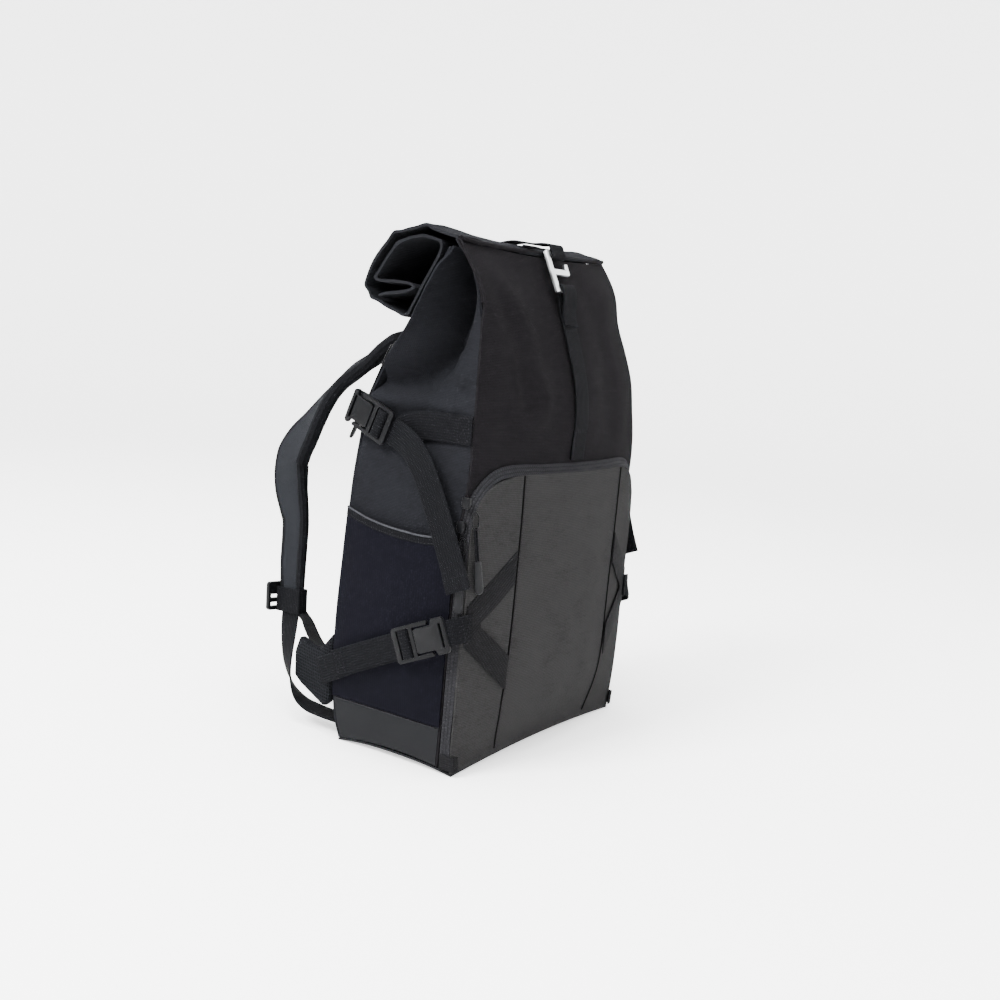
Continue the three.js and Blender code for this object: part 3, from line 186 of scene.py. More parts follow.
def new_group(name, inputs, outputs):
    tree = bpy.data.node_groups.new(name, "ShaderNodeTree")
    for label, kind in inputs:
        tree.interface.new_socket(label, in_out="INPUT", socket_type=kind)
    for label, kind in outputs:
        tree.interface.new_socket(label, in_out="OUTPUT", socket_type=kind)
    sheet = Sheet(tree)
    entry = tree.nodes.new("NodeGroupInput")
    leave = tree.nodes.new("NodeGroupOutput")
    return tree, sheet, entry.outputs, leave.inputs


FLOAT = "NodeSocketFloat"
VECTOR = "NodeSocketVector"


def plain_weave():
    """Over and under yarns on a surface measured in metres: their height and a mask of the gaps."""
    tree, s, given, out = new_group(
        "plain_weave", [("Place", VECTOR), ("Yarn", FLOAT)], [("Height", FLOAT), ("Gap", FLOAT)]
    )
    parts = s.add("ShaderNodeSeparateXYZ", Vector=given["Place"]).outputs
    u = s.maths("DIVIDE", parts[0], given["Yarn"])
    v = s.maths("DIVIDE", parts[1], given["Yarn"])
    warp = s.maths("ABSOLUTE", s.maths("SINE", s.maths("MULTIPLY", u, math.pi)))
    weft = s.maths("ABSOLUTE", s.maths("SINE", s.maths("MULTIPLY", v, math.pi)))
    cell = s.maths("ADD", s.maths("FLOOR", u), s.maths("FLOOR", v))
    over = s.maths("PINGPONG", cell, 1.0)
    warp_up = s.maths("MULTIPLY", warp, s.maths("MULTIPLY_ADD", weft, 0.5, 0.5))
    weft_up = s.maths("MULTIPLY", weft, s.maths("MULTIPLY_ADD", warp, 0.5, 0.5))
    difference = s.maths("SUBTRACT", warp_up, weft_up)
    height = s.maths("MULTIPLY_ADD", difference, over, weft_up)
    s.wire(height, out["Height"])
    s.wire(s.ramp(height, 0.0, 0.45, 1.0, 0.0), out["Gap"])
    return tree


def webbing_ribs():
    """Fine lengthwise ribs of narrow webbing, crossed by its weft; Place is across and along."""
    tree, s, given, out = new_group(
        "webbing_ribs", [("Place", VECTOR), ("Rib", FLOAT)], [("Height", FLOAT), ("Gap", FLOAT)]
    )
    parts = s.add("ShaderNodeSeparateXYZ", Vector=given["Place"]).outputs
    u = s.maths("DIVIDE", parts[0], given["Rib"])
    v = s.maths("DIVIDE", parts[1], s.maths("MULTIPLY", given["Rib"], 0.75))
    shift = s.maths("MULTIPLY", s.maths("PINGPONG", s.maths("FLOOR", u), 1.0), 0.5)
    rib = s.maths("ABSOLUTE", s.maths("SINE", s.maths("MULTIPLY", u, math.pi)))
    beat = s.maths("ABSOLUTE", s.maths("SINE", s.maths("MULTIPLY", s.maths("ADD", v, shift), math.pi)))
    height = s.maths("MULTIPLY", s.maths("POWER", rib, 0.6), s.maths("MULTIPLY_ADD", beat, 0.55, 0.45))
    s.wire(height, out["Height"])
    s.wire(s.ramp(height, 0.0, 0.5, 1.0, 0.0), out["Gap"])
    return tree


def yarn_tone():
    """Uneven dye: long streaks along both yarn directions and soft clouds between them."""
    tree, s, given, out = new_group("yarn_tone", [("Place", VECTOR), ("Grain", FLOAT)], [("Tone", FLOAT)])
    along = s.add("ShaderNodeVectorMath", {"operation": "MULTIPLY"}, i0=given["Place"], i1=(1.0, 0.12, 1.0))
    aside = s.add("ShaderNodeVectorMath", {"operation": "MULTIPLY"}, i0=given["Place"], i1=(0.12, 1.0, 1.0))
    first = s.noise(along.outputs[0], given["Grain"], 3.0, 0.7)
    second = s.noise(aside.outputs[0], given["Grain"], 3.0, 0.7)
    cloud = s.noise(given["Place"], 22.0, 3.0, 0.6)
    streaks = s.maths("ADD", first, second)
    s.wire(s.maths("MULTIPLY_ADD", cloud, 0.5, s.maths("MULTIPLY", streaks, 0.5)), out["Tone"])
    return tree


def rubbed_edge():
    """Where cloth or plastic is rubbed pale: patches broken up by a fine grain."""
    tree, s, given, out = new_group("rubbed_edge", [("Place", VECTOR), ("Edge", FLOAT)], [("Mask", FLOAT)])
    patch = s.noise(given["Place"], 60.0, 4.0, 0.65)
    fine = s.noise(given["Place"], 700.0, 2.0, 0.6)
    broken = s.maths("MULTIPLY", s.ramp(patch, 0.4, 0.7), s.ramp(fine, 0.35, 0.65))
    s.wire(s.maths("MULTIPLY", given["Edge"], broken), out["Mask"])
    return tree


WEAVE = plain_weave()
RIBS = webbing_ribs()
TONE = yarn_tone()
RUBBED = rubbed_edge()


def start_material(name, roughness, sheen=0.0, specular=0.5, metallic=0.0, tint=(1, 1, 1)):
    material = bpy.data.materials.new(name)
    material.use_nodes = True
    s = Sheet(material.node_tree)
    shader = material.node_tree.nodes["Principled BSDF"]
    shader.inputs["Roughness"].default_value = roughness
    shader.inputs["Specular IOR Level"].default_value = specular
    shader.inputs["Metallic"].default_value = metallic
    shader.inputs["Sheen Weight"].default_value = sheen
    shader.inputs["Sheen Roughness"].default_value = 0.45
    shader.inputs["Sheen Tint"].default_value = (*tint, 1)
    return material, s, shader


def use(s, group, **inputs):
    node = s.tree.nodes.new("ShaderNodeGroup")
    node.node_tree = group
    for name, value in inputs.items():
        s.wire(value, node.inputs[name])
    return node.outputs


def scaled(colour, share):
    return tuple(min(1.0, part * share) for part in colour)


def woven(name, colour, yarn, depth, roughness=0.85, sheen=0.0, contrast=0.45, on_uv=True, specular=0.012):
    """Woven cloth: yarns, streaky dye and rubbed edges."""
    material, s, shader = start_material(name, roughness, sheen, specular, tint=(0.75, 0.8, 0.95))
    coordinates = s.add("ShaderNodeTexCoord").outputs
    place = coordinates["UV"] if on_uv else coordinates["Object"]
    weave = use(s, WEAVE, Place=place, Yarn=yarn)
    tone = use(s, TONE, Place=coordinates["Object"], Grain=420.0)["Tone"]
    edge = s.add("ShaderNodeAttribute", {"attribute_name": "edge"}).outputs["Fac"]
    rubbed = use(s, RUBBED, Place=coordinates["Object"], Edge=edge)["Mask"]
    share = s.ramp(tone, 0.3, 0.72)
    body = s.blend(share, scaled(colour, 1 - contrast), scaled(colour, 1 + contrast))
    # Painted shade: the gaps between the yarns are darkened towards a fifth of the cloth's colour.
    gap_shaded = s.blend(s.maths("MULTIPLY", weave["Gap"], 0.8), body, scaled(colour, 0.2))
    worn = s.blend(s.maths("MULTIPLY", rubbed, 0.35), gap_shaded, scaled(colour, 2.2))
    s.wire(worn, shader.inputs["Base Color"])
    s.wire(s.ramp(tone, 0.3, 0.7, roughness - 0.08, roughness + 0.08), shader.inputs["Roughness"])
    fuzz = s.noise(coordinates["Object"], 1800.0, 2.0, 0.6)
    height = s.maths("MULTIPLY_ADD", fuzz, 0.25, weave["Height"])
    bump = s.add("ShaderNodeBump", Strength=0.6, Distance=depth, Height=height)
    s.wire(bump.outputs[0], shader.inputs["Normal"])
    return material


def ribbed(name, colour, rib, depth, roughness=0.7, sheen=0.0, specular=0.02):
    """Narrow woven webbing or tape on its own across and along measure."""
    material, s, shader = start_material(name, roughness, sheen, specular, tint=(0.8, 0.85, 0.95))
    coordinates = s.add("ShaderNodeTexCoord").outputs
    ribs = use(s, RIBS, Place=coordinates["UV"], Rib=rib)
    tone = use(s, TONE, Place=coordinates["Object"], Grain=300.0)["Tone"]
    edge = s.add("ShaderNodeAttribute", {"attribute_name": "edge"}).outputs["Fac"]
    rubbed = use(s, RUBBED, Place=coordinates["Object"], Edge=edge)["Mask"]
    body = s.blend(s.ramp(tone, 0.3, 0.7), scaled(colour, 0.75), scaled(colour, 1.3))
    # Painted shade: the gaps between the ribs are darkened towards a fifth of the webbing's colour.
    gap_shaded = s.blend(s.maths("MULTIPLY", ribs["Gap"], 0.8), body, scaled(colour, 0.2))
    worn = s.blend(s.maths("MULTIPLY", rubbed, 0.5), gap_shaded, scaled(colour, 3.0))
    s.wire(worn, shader.inputs["Base Color"])
    s.wire(s.ramp(tone, 0.3, 0.7, roughness - 0.06, roughness + 0.1), shader.inputs["Roughness"])
    bump = s.add("ShaderNodeBump", Strength=0.7, Distance=depth, Height=ribs["Height"])
    s.wire(bump.outputs[0], shader.inputs["Normal"])
    return material


def knitted(name, colour, loop, depth):
    """Fine stretch knit: slanting loops in columns."""
    material, s, shader = start_material(name, 0.72, 0.0, 0.015, tint=(0.6, 0.7, 1.0))
    coordinates = s.add("ShaderNodeTexCoord").outputs
    parts = s.add("ShaderNodeSeparateXYZ", Vector=coordinates["UV"]).outputs
    column = s.maths("PINGPONG", s.maths("DIVIDE", parts[0], loop), 1.0)
    row = s.maths("DIVIDE", parts[1], loop)
    slant = s.maths("ADD", row, s.maths("MULTIPLY", column, 0.6))
    wave = s.maths("ABSOLUTE", s.maths("SINE", s.maths("MULTIPLY", slant, math.pi)))
    height = s.maths("MULTIPLY", wave, s.ramp(column, 0.0, 0.35))
    tone = use(s, TONE, Place=coordinates["Object"], Grain=350.0)["Tone"]
    body = s.blend(s.ramp(tone, 0.3, 0.7), scaled(colour, 0.8), scaled(colour, 1.25))
    # Painted shade: the low parts of the loops are darkened towards a third of the knit's colour.
    shade = s.blend(s.ramp(height, 0.0, 0.5, 0.5, 0.0), body, scaled(colour, 0.3))
    s.wire(shade, shader.inputs["Base Color"])
    s.wire(s.ramp(tone, 0.3, 0.7, 0.64, 0.8), shader.inputs["Roughness"])
    bump = s.add("ShaderNodeBump", Strength=0.5, Distance=depth, Height=height)
    s.wire(bump.outputs[0], shader.inputs["Normal"])
    return material


def air_mesh(name, colour, cell, depth):
    """Padded spacer mesh: small round holes in staggered rows."""
    material, s, shader = start_material(name, 0.85, 0.0, 0.015)
    coordinates = s.add("ShaderNodeTexCoord").outputs
    holes = s.add(
        "ShaderNodeTexVoronoi", {"feature": "F1"}, Vector=coordinates["UV"], Scale=1 / cell, Randomness=0.12
    )
    height = s.ramp(holes.outputs["Distance"], 0.18, 0.42)
    tone = use(s, TONE, Place=coordinates["Object"], Grain=300.0)["Tone"]
    body = s.blend(s.ramp(tone, 0.3, 0.7), scaled(colour, 0.8), scaled(colour, 1.25))
    # Painted shade: the holes are darkened to about a fifth of the mesh's colour.
    s.wire(s.blend(height, scaled(colour, 0.22), body), shader.inputs["Base Color"])
    s.wire(s.ramp(tone, 0.3, 0.7, 0.78, 0.92), shader.inputs["Roughness"])
    bump = s.add("ShaderNodeBump", Strength=0.8, Distance=depth, Height=height)
    s.wire(bump.outputs[0], shader.inputs["Normal"])
    return material


def coated(name, colour):
    """Smooth coated cloth of the base: faint scrim under a dull film, scuffed near the floor."""
    material, s, shader = start_material(name, 0.55, 0.0, 0.03)
    coordinates = s.add("ShaderNodeTexCoord").outputs
    weave = use(s, WEAVE, Place=coordinates["UV"], Yarn=0.0007)
    tone = use(s, TONE, Place=coordinates["Object"], Grain=160.0)["Tone"]
    scuff = s.noise(coordinates["Object"], 90.0, 5.0, 0.7)
    low = s.add("ShaderNodeSeparateXYZ", Vector=coordinates["Object"]).outputs[2]
    near_floor = s.ramp(low, 0.0, 0.02, 1.0, 0.0)
    scuffed = s.maths("MULTIPLY", s.ramp(scuff, 0.5, 0.7), near_floor)
    body = s.blend(s.ramp(tone, 0.3, 0.7), scaled(colour, 0.85), scaled(colour, 1.15))
    s.wire(s.blend(s.maths("MULTIPLY", scuffed, 0.4), body, scaled(colour, 1.9)), shader.inputs["Base Color"])
    s.wire(s.ramp(scuff, 0.3, 0.7, 0.42, 0.6), shader.inputs["Roughness"])
    bump = s.add("ShaderNodeBump", Strength=0.25, Distance=0.0001, Height=weave["Height"])
    s.wire(bump.outputs[0], shader.inputs["Normal"])
    return material


def moulded(name, colour, roughness, grain=900.0):
    """Moulded plastic or rubber: fine spark-eroded grain, a few handling scratches."""
    material, s, shader = start_material(name, roughness, 0.0, 0.06)
    place = s.add("ShaderNodeTexCoord").outputs["Object"]
    fine = s.noise(place, grain, 3.0, 0.6)
    smear = s.noise(place, 45.0, 4.0, 0.6)
    stretched = s.add("ShaderNodeVectorMath", {"operation": "MULTIPLY"}, i0=place, i1=(1.0, 0.15, 1.0))
    scratch = s.ramp(s.noise(stretched.outputs[0], 500.0, 2.0, 0.5), 0.66, 0.7)
    body = s.blend(s.ramp(smear, 0.3, 0.7), scaled(colour, 0.85), scaled(colour, 1.25))
    s.wire(s.blend(s.maths("MULTIPLY", scratch, 0.25), body, scaled(colour, 3.0)), shader.inputs["Base Color"])
    s.wire(s.ramp(smear, 0.3, 0.7, roughness - 0.08, roughness + 0.1), shader.inputs["Roughness"])
    height = s.maths("MULTIPLY_ADD", scratch, -0.6, fine)
    bump = s.add("ShaderNodeBump", Strength=0.2, Distance=0.00006, Height=height)
    s.wire(bump.outputs[0], shader.inputs["Normal"])
    return material


def satin_metal(name, colour, roughness):
    """Bead-blasted, anodised metal with a faint grain and rubbed spots."""
    material, s, shader = start_material(name, roughness, 0.0, 0.5, metallic=1.0)
    place = s.add("ShaderNodeTexCoord").outputs["Object"]
    fine = s.noise(place, 2500.0, 2.0, 0.6)
    smear = s.noise(place, 70.0, 4.0, 0.6)
    s.wire(s.blend(s.ramp(smear, 0.3, 0.7), scaled(colour, 0.9), scaled(colour, 1.05)), shader.inputs["Base Color"])
    s.wire(s.ramp(smear, 0.3, 0.7, roughness - 0.06, roughness + 0.08), shader.inputs["Roughness"])
    bump = s.add("ShaderNodeBump", Strength=0.15, Distance=0.00004, Height=fine)
    s.wire(bump.outputs[0], shader.inputs["Normal"])
    return material


FINISH = {
    "front_cloth": woven("charcoal_front_cloth", (0.0043, 0.004, 0.0045), 0.0013, 0.0006),
    "side_cloth": woven("blue_charcoal_side_cloth", (0.0052, 0.0054, 0.0064), 0.0013, 0.0006),
    "roll_cloth": woven("charcoal_roll_cloth", (0.0058, 0.006, 0.0069), 0.0013, 0.0006),
    "pad_cloth": woven("slate_pad_cloth", (0.007, 0.0075, 0.0087), 0.0011, 0.0004),
    "pocket_cloth": woven("heather_pocket_cloth", (0.0108, 0.0107, 0.0108), 0.0016, 0.0008, contrast=0.6),
    "stretch_cloth": knitted("navy_stretch_knit", (0.0021, 0.0021, 0.0034), 0.0012, 0.0003),
    "coated_cloth": coated("slate_coated_cloth", (0.0048, 0.005, 0.0056)),
    "webbing": ribbed("black_webbing", (0.0027, 0.0028, 0.0033), 0.0024, 0.0009),
    "pocket_webbing": ribbed("charcoal_pocket_webbing", (0.0042, 0.0042, 0.0046), 0.0026, 0.0009),
    "tape": ribbed("ribbed_zip_tape", (0.0085, 0.0085, 0.0095), 0.0036, 0.0014),
    "piping": ribbed("grey_piping", (0.017, 0.0175, 0.0195), 0.001, 0.0002),
    "seam": ribbed("dark_seam", (0.0009, 0.0009, 0.001), 0.0008, 0.0002, specular=0.01),
    "mesh_cloth": air_mesh("grey_air_mesh", (0.0045, 0.0048, 0.0056), 0.003, 0.0008),
    "buckle_plastic": moulded("satin_black_plastic", (0.0024, 0.0025, 0.0029), 0.36),
    "pull_rubber": moulded("dull_black_rubber", (0.005, 0.0052, 0.0058), 0.5, 600.0),
    "hook_metal": satin_metal("satin_aluminium", (0.55, 0.56, 0.57), 0.34),
    "thread": ribbed("black_thread", (0.0085, 0.0085, 0.0095), 0.0004, 0.0001),
}


# Making pieces


def mark_edges(obj, angle=25):
    """Stores where a piece has an edge that gets rubbed, as 1 at the edge and 0 elsewhere."""
    mesh = obj.data
    loop_edge = np.empty(len(mesh.loops), int)
    mesh.loops.foreach_get("edge_index", loop_edge)
    corners = np.empty(len(mesh.polygons), int)
    mesh.polygons.foreach_get("loop_total", corners)
    normals = np.empty(len(mesh.polygons) * 3)
    mesh.polygons.foreach_get("normal", normals)
    total = np.zeros((len(mesh.edges), 3))
    np.add.at(total, loop_edge, np.repeat(normals.reshape(-1, 3), corners, axis=0))
    sharp = np.linalg.norm(total, axis=1) < 2 * math.cos(math.radians(angle) / 2)
    ends = np.empty(len(mesh.edges) * 2, int)
    mesh.edges.foreach_get("vertices", ends)
    rubbed = np.zeros(len(mesh.vertices))
    rubbed[ends.reshape(-1, 2)[sharp].ravel()] = 1
    mesh.attributes.new("edge", "FLOAT", "POINT").data.foreach_set("value", rubbed)


def settle_piece(obj, finish, stands_for=(), angle=35):
    """Gives a made piece its finish, its body and the solids that it stands for."""
    obj.data.materials.clear()
    obj.data.materials.append(FINISH[finish])
    mark_edges(obj)
    bpy.ops.object.select_all(action="DESELECT")
    obj.select_set(True)
    bpy.context.view_layer.objects.active = obj
    bpy.ops.object.shade_smooth_by_angle(angle=math.radians(angle))
    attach(obj, "root")
    if stands_for:
        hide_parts(*stands_for)
    return obj


def mesh_piece(name, points, faces, corner_uv=None):
    mesh = bpy.data.meshes.new(name)
    mesh.from_pydata([tuple(map(float, p)) for p in points], [], faces)
    if corner_uv is not None:
        layer = mesh.uv_layers.new(name="measure")
        layer.data.foreach_set("uv", np.asarray(corner_uv, float).ravel())
    obj = bpy.data.objects.new(name, mesh)
    bpy.context.scene.collection.objects.link(obj)
    return obj


def merged_copy(node, name):
    """The solid's mesh as a new object, its loose triangles merged and paired into quads."""
    obj = bpy.data.objects.new(name, nodes[node].data.copy())
    bpy.context.scene.collection.objects.link(obj)
    bpy.ops.object.select_all(action="DESELECT")
    obj.select_set(True)
    bpy.context.view_layer.objects.active = obj
    for attribute in list(obj.data.attributes):
        if attribute.name.startswith("custom_normal"):
            obj.data.attributes.remove(attribute)
    bpy.ops.object.mode_set(mode="EDIT")
    bpy.ops.mesh.select_all(action="SELECT")
    bpy.ops.mesh.remove_doubles(threshold=0.00002)
    bpy.ops.mesh.tris_convert_to_quads(face_threshold=math.radians(70), shape_threshold=math.radians(80))
    bpy.ops.object.mode_set(mode="OBJECT")
    return obj


def apply_modifier(obj, kind, **settings):
    modifier = obj.modifiers.new(kind.lower(), kind)
    for name, value in settings.items():
        setattr(modifier, name, value)
    bpy.context.view_layer.objects.active = obj
    bpy.ops.object.modifier_apply(modifier=modifier.name)


def crease_rims(obj, angle, weight=1.0):
    """Keeps the cut rims of a cloth sharp while the rest is smoothed."""
    mesh = bmesh.new()
    mesh.from_mesh(obj.data)
    layer = mesh.edges.layers.float.get("crease_edge") or mesh.edges.layers.float.new("crease_edge")
    corner = mesh.verts.layers.float.get("crease_vert") or mesh.verts.layers.float.new("crease_vert")
    for edge in mesh.edges:
        if len(edge.link_faces) == 2 and edge.calc_face_angle(0) > math.radians(angle):
            edge[layer] = weight
    for point in mesh.verts:
        if sum(edge[layer] > 0 for edge in point.link_edges) == 3:
            point[corner] = weight
    mesh.to_mesh(obj.data)
    mesh.free()


def coords(obj):
    flat = np.empty(len(obj.data.vertices) * 3)
    obj.data.vertices.foreach_get("co", flat)
    return flat.reshape(-1, 3)


def set_coords(obj, points):
    obj.data.vertices.foreach_set("co", np.asarray(points, float).ravel())
    obj.data.update()


def measure_by_side(obj):
    """A UV map in metres, laid flat along whichever axis each face looks."""
    mesh = obj.data
    layer = mesh.uv_layers.get("measure") or mesh.uv_layers.new(name="measure")
    points = coords(obj)
    spread = np.zeros((len(mesh.loops), 2))
    pick = {0: (1, 2), 1: (0, 2), 2: (0, 1)}
    for face in mesh.polygons:
        axis = int(np.argmax(np.abs(face.normal)))
        chosen = pick[axis]
        for loop in face.loop_indices:
            spread[loop] = points[mesh.loops[loop].vertex_index][list(chosen)]
    layer.data.foreach_set("uv", spread.ravel())


def field(points, size, seed, stretch=(1, 1, 1)):
    """Smooth seeded noise from -1 to 1 at each point; size is how far apart its swells lie."""
    scale = np.array([1 / (size * s) for s in stretch])
    return np.array([noise.noise(Vector(p * scale + seed)) for p in points])


def near_line(points, line, axes):
    """How far each point is from a line of marks, seen along one axis, and its side of it."""
    flat = points[:, axes]
    marks = np.asarray(line, float)
    best = np.full(len(points), 1e9)
    side = np.zeros(len(points))
    for a, b in zip(marks[:-1], marks[1:]):
        run = b - a
        t = np.clip(((flat - a) @ run) / (run @ run), 0, 1)
        gap = flat - (a + t[:, None] * run)
        distance = np.linalg.norm(gap, axis=1)
        turn = run[0] * gap[:, 1] - run[1] * gap[:, 0]
        nearer = distance < best
        best[nearer] = distance[nearer]
        side[nearer] = np.sign(turn[nearer])
    return best, side


def bell(distance, width):
    return np.exp(-((distance / width) ** 2))


def ease(value, start, end):
    t = np.clip((value - start) / (end - start), 0, 1)
    return t * t * (3 - 2 * t)


def smooth_path(knots, step):
    """Points about every step metres on a smooth line through the knots, and their places among them."""
    p = np.asarray(knots, float)
    gaps = np.maximum(np.linalg.norm(np.diff(p, axis=0), axis=1), 1e-6)
    h = np.sqrt(gaps)
    slope = np.diff(p, axis=0) / h[:, None]
    m = np.empty_like(p)
    m[1:-1] = (slope[:-1] * h[1:, None] + slope[1:] * h[:-1, None]) / (h[1:] + h[:-1])[:, None]
    m[0], m[-1] = slope[0], slope[-1]
    out, place = [], []
    for i, gap in enumerate(gaps):
        count = max(3, round(gap / step))
        s = (np.arange(count) / count)[:, None]
        first = (2 * s**3 - 3 * s**2 + 1) * p[i] + (s**3 - 2 * s**2 + s) * m[i] * h[i]
        second = (3 * s**2 - 2 * s**3) * p[i + 1] + (s**3 - s**2) * m[i + 1] * h[i]
        out.append(first + second)
        place.append(i + s[:, 0])
    out.append(p[-1:])
    place.append(np.array([len(p) - 1.0]))
    return np.concatenate(out), np.concatenate(place)


def between(values, place):
    """Rows of values at fractional places."""
    values = np.asarray(values, float)
    low = np.minimum(place.astype(int), len(values) - 2)
    share = (place - low).reshape(-1, *([1] * (values.ndim - 1)))
    return values[low] * (1 - share) + values[low + 1] * share


def unit(rows):
    return rows / np.maximum(np.linalg.norm(rows, axis=-1, keepdims=True), 1e-12)


def rings_of(node):
    """A strap solid's rings from end to end: each one's centre, across, width and thickness."""
    mesh = bmesh.new()
    mesh.from_mesh(nodes[node].data)
    bmesh.ops.remove_doubles(mesh, verts=mesh.verts, dist=0.00001)
    mesh.verts.ensure_lookup_table()
    mesh.verts.index_update()
    ends = {v.index for v in mesh.verts if len(v.link_edges) < 6}
    ring = {min(ends)}
    grown = True
    while grown:
        joined = {e.other_vert(mesh.verts[i]).index for i in ring for e in mesh.verts[i].link_edges}
        grown = not (joined & ends) <= ring
        ring |= joined & ends
    rings, seen = [sorted(ring)], set(ring)
    while True:
        joined = {e.other_vert(mesh.verts[i]).index for i in rings[-1] for e in mesh.verts[i].link_edges}
        joined -= seen
        if not joined:
            break
        rings.append(sorted(joined))
        seen |= joined
    place = np.array([tuple(v.co) for v in mesh.verts])
    mesh.free()
    centre, across, wide, thick = [], [], [], []
    for ring in rings:
        corners = place[ring]
        middle = corners.mean(0)
        _, _, axes = np.linalg.svd(corners - middle)
        line = axes[0] if not across or axes[0] @ across[-1] > 0 else -axes[0]
        reach = (corners - middle) @ axes.T
        centre.append(middle)
        across.append(line)
        wide.append(np.ptp(reach[:, 0]))
        thick.append(np.ptp(reach[:, 1]))
    return [np.array(rows) for rows in (centre, across, wide, thick)]


def lofted(name, rings, girth, run):
    """A closed skin over rings of points; girth and run are its UV measure in metres."""
    count, sides = rings.shape[:2]
    faces, spread = [], []
    for i in range(count - 1):
        for j in range(sides):
            k = (j + 1) % sides
            faces.append((i * sides + j, i * sides + k, (i + 1) * sides + k, (i + 1) * sides + j))
            spread += [
                (girth[j], run[i]),
                (girth[j + 1], run[i]),
                (girth[j + 1], run[i + 1]),
                (girth[j], run[i + 1]),
            ]
    for ring, i in ((list(range(sides))[::-1], 0), (list(range(sides)), count - 1)):
        faces.append(tuple(i * sides + j for j in ring))
        spread += [(girth[j], run[i]) for j in ring]
    obj = mesh_piece(name, rings.reshape(-1, 3), faces, spread)
    turn_outwards(obj)
    return obj


def turn_outwards(obj):
    mesh = bmesh.new()
    mesh.from_mesh(obj.data)
    bmesh.ops.recalc_face_normals(mesh, faces=mesh.faces)
    mesh.to_mesh(obj.data)
    mesh.free()


def strap_section(rows=9, edge=3):
    """The cut across a strap as shares of its half width and half thickness, with rounded edges."""
    top = [(u, 1.0) for u in np.linspace(-0.96, 0.96, rows)]
    turn = [math.pi / 2 - math.pi * (k + 1) / (edge + 1) for k in range(edge)]
    right = [(0.96 + 0.04 * math.cos(a), math.sin(a)) for a in turn]
    bottom = [(u, -1.0) for u in np.linspace(0.96, -0.96, rows)]
    left = [(-x, -y) for x, y in right]
    return np.array(top + right + bottom + left)


class Route:
    """A strap's way: its smooth centre line with across, outward, width and thickness at each point."""

    def __init__(self, node, step=0.0016, first=None):
        centre, across, wide, thick = rings_of(node)
        if first is not None and first(centre[0]) > first(centre[-1]):
            centre, across, wide, thick = centre[::-1], across[::-1], wide[::-1], thick[::-1]
        self.centre, place = smooth_path(centre, step)
        along = unit(np.gradient(self.centre, axis=0))
        sideways = between(across, place)
        sideways -= (sideways * along).sum(1, keepdims=True) * along
        self.across = unit(sideways)
        self.along = along
        self.out = np.cross(self.along, self.across)
        self.wide = between(wide, place)
        self.thick = between(thick, place)
        steps = np.linalg.norm(np.diff(self.centre, axis=0), axis=1)
        self.run = np.concatenate([[0], np.cumsum(steps)])

    def at(self, run, u=0.0, lift=0.0):
        """A point on the strap: run metres along, u metres across, lift metres off its middle."""
        pick = np.interp(run, self.run, np.arange(len(self.run)))
        point = between(self.centre, np.atleast_1d(pick))[0]
        across = unit(between(self.across, np.atleast_1d(pick))[0])
        out = unit(between(self.out, np.atleast_1d(pick))[0])
        return point + across * u + out * lift

    @property
    def length(self):
        return float(self.run[-1])


def strap(name, node, finish="webbing", first=None, ripple=0.0, seed=1.0, hem=0.0):
    """Webbing with rounded edges along the solid's own way; its last part can be folded double."""
    route = Route(node, first=first)
    section = strap_section()
    half = route.wide[:, None] / 2
    deep = route.thick[:, None] / 2
    if hem:
        deep = deep * (1 + 0.8 * ease(route.run, route.length - hem - 0.0012, route.length - hem))[:, None]
    wave = 0.0
    if ripple:
        wave = ripple * np.array([noise.noise(Vector((r * 40, seed, 0))) for r in route.run])[:, None]
    rings = (
        route.centre[:, None]
        + route.across[:, None] * (half * section[:, 0])[..., None]
        + route.out[:, None] * (deep * section[:, 1] + wave)[..., None]
    )
    girth = np.append(section[:, 0] * route.wide.mean() / 2, section[0, 0] * route.wide.mean() / 2)
    girth = girth + route.wide.mean() / 2
    obj = lofted(name, rings, girth, route.run)
    settle_piece(obj, finish, [node])
    return obj, route


def stitches(name, rows, length=0.0022, gap=0.0008, radius=0.00022):
    """Lines of thread: rows are (start point, end point, outward) triples, each stitched with short dashes."""
    points, faces = [], []
    for start, end, out in rows:
        start, end = np.asarray(start, float), np.asarray(end, float)
        reach = np.linalg.norm(end - start)
        count = max(1, int(reach / (length + gap)))
        along = (end - start) / max(reach, 1e-9)
        out = unit(np.asarray(out, float))
        side = np.cross(along, out)
        for k in range(count):
            middle = start + (end - start) * (k + 0.5) / count
            base = len(points)
            for share, grow, rise in ((-0.5, 0.35, -0.9), (-0.3, 1, 0.35), (0.3, 1, 0.35), (0.5, 0.35, -0.9)):
                for turn in range(5):
                    angle = 2 * math.pi * turn / 5
                    ring = side * math.cos(angle) + out * math.sin(angle)
                    points.append(middle + along * share * length + (ring * grow + out * rise) * radius)
            for ring in range(3):
                for turn in range(5):
                    after = (turn + 1) % 5
                    low = base + ring * 5
                    faces.append((low + turn, low + after, low + 5 + after, low + 5 + turn))
            faces.append(tuple(base + t for t in range(4, -1, -1)))
            faces.append(tuple(base + 15 + t for t in range(5)))
    obj = mesh_piece(name, points, faces)
    turn_outwards(obj)
    measure_by_side(obj)
    return settle_piece(obj, "thread", angle=80)


def box_tack(route, start, end, inset=0.0025, lift=None, sign=1, cross=True):
    """Rows of a stitched box with a cross in it, on one face of a strap."""
    half = route.at(start), route.at(end)
    pick = int(np.searchsorted(route.run, (start + end) / 2))
    wide = route.wide[pick] / 2 - inset
    rise = (route.thick[pick] / 2 if lift is None else lift) * sign
    out = route.out[pick] * sign
    a, b = route.at(start, -wide, rise), route.at(start, wide, rise)
    c, d = route.at(end, wide, rise), route.at(end, -wide, rise)
    rows = [(a, b, out), (b, c, out), (c, d, out), (d, a, out)]
    if cross:
        rows += [(a, c, out), (b, d, out)]
    return rows


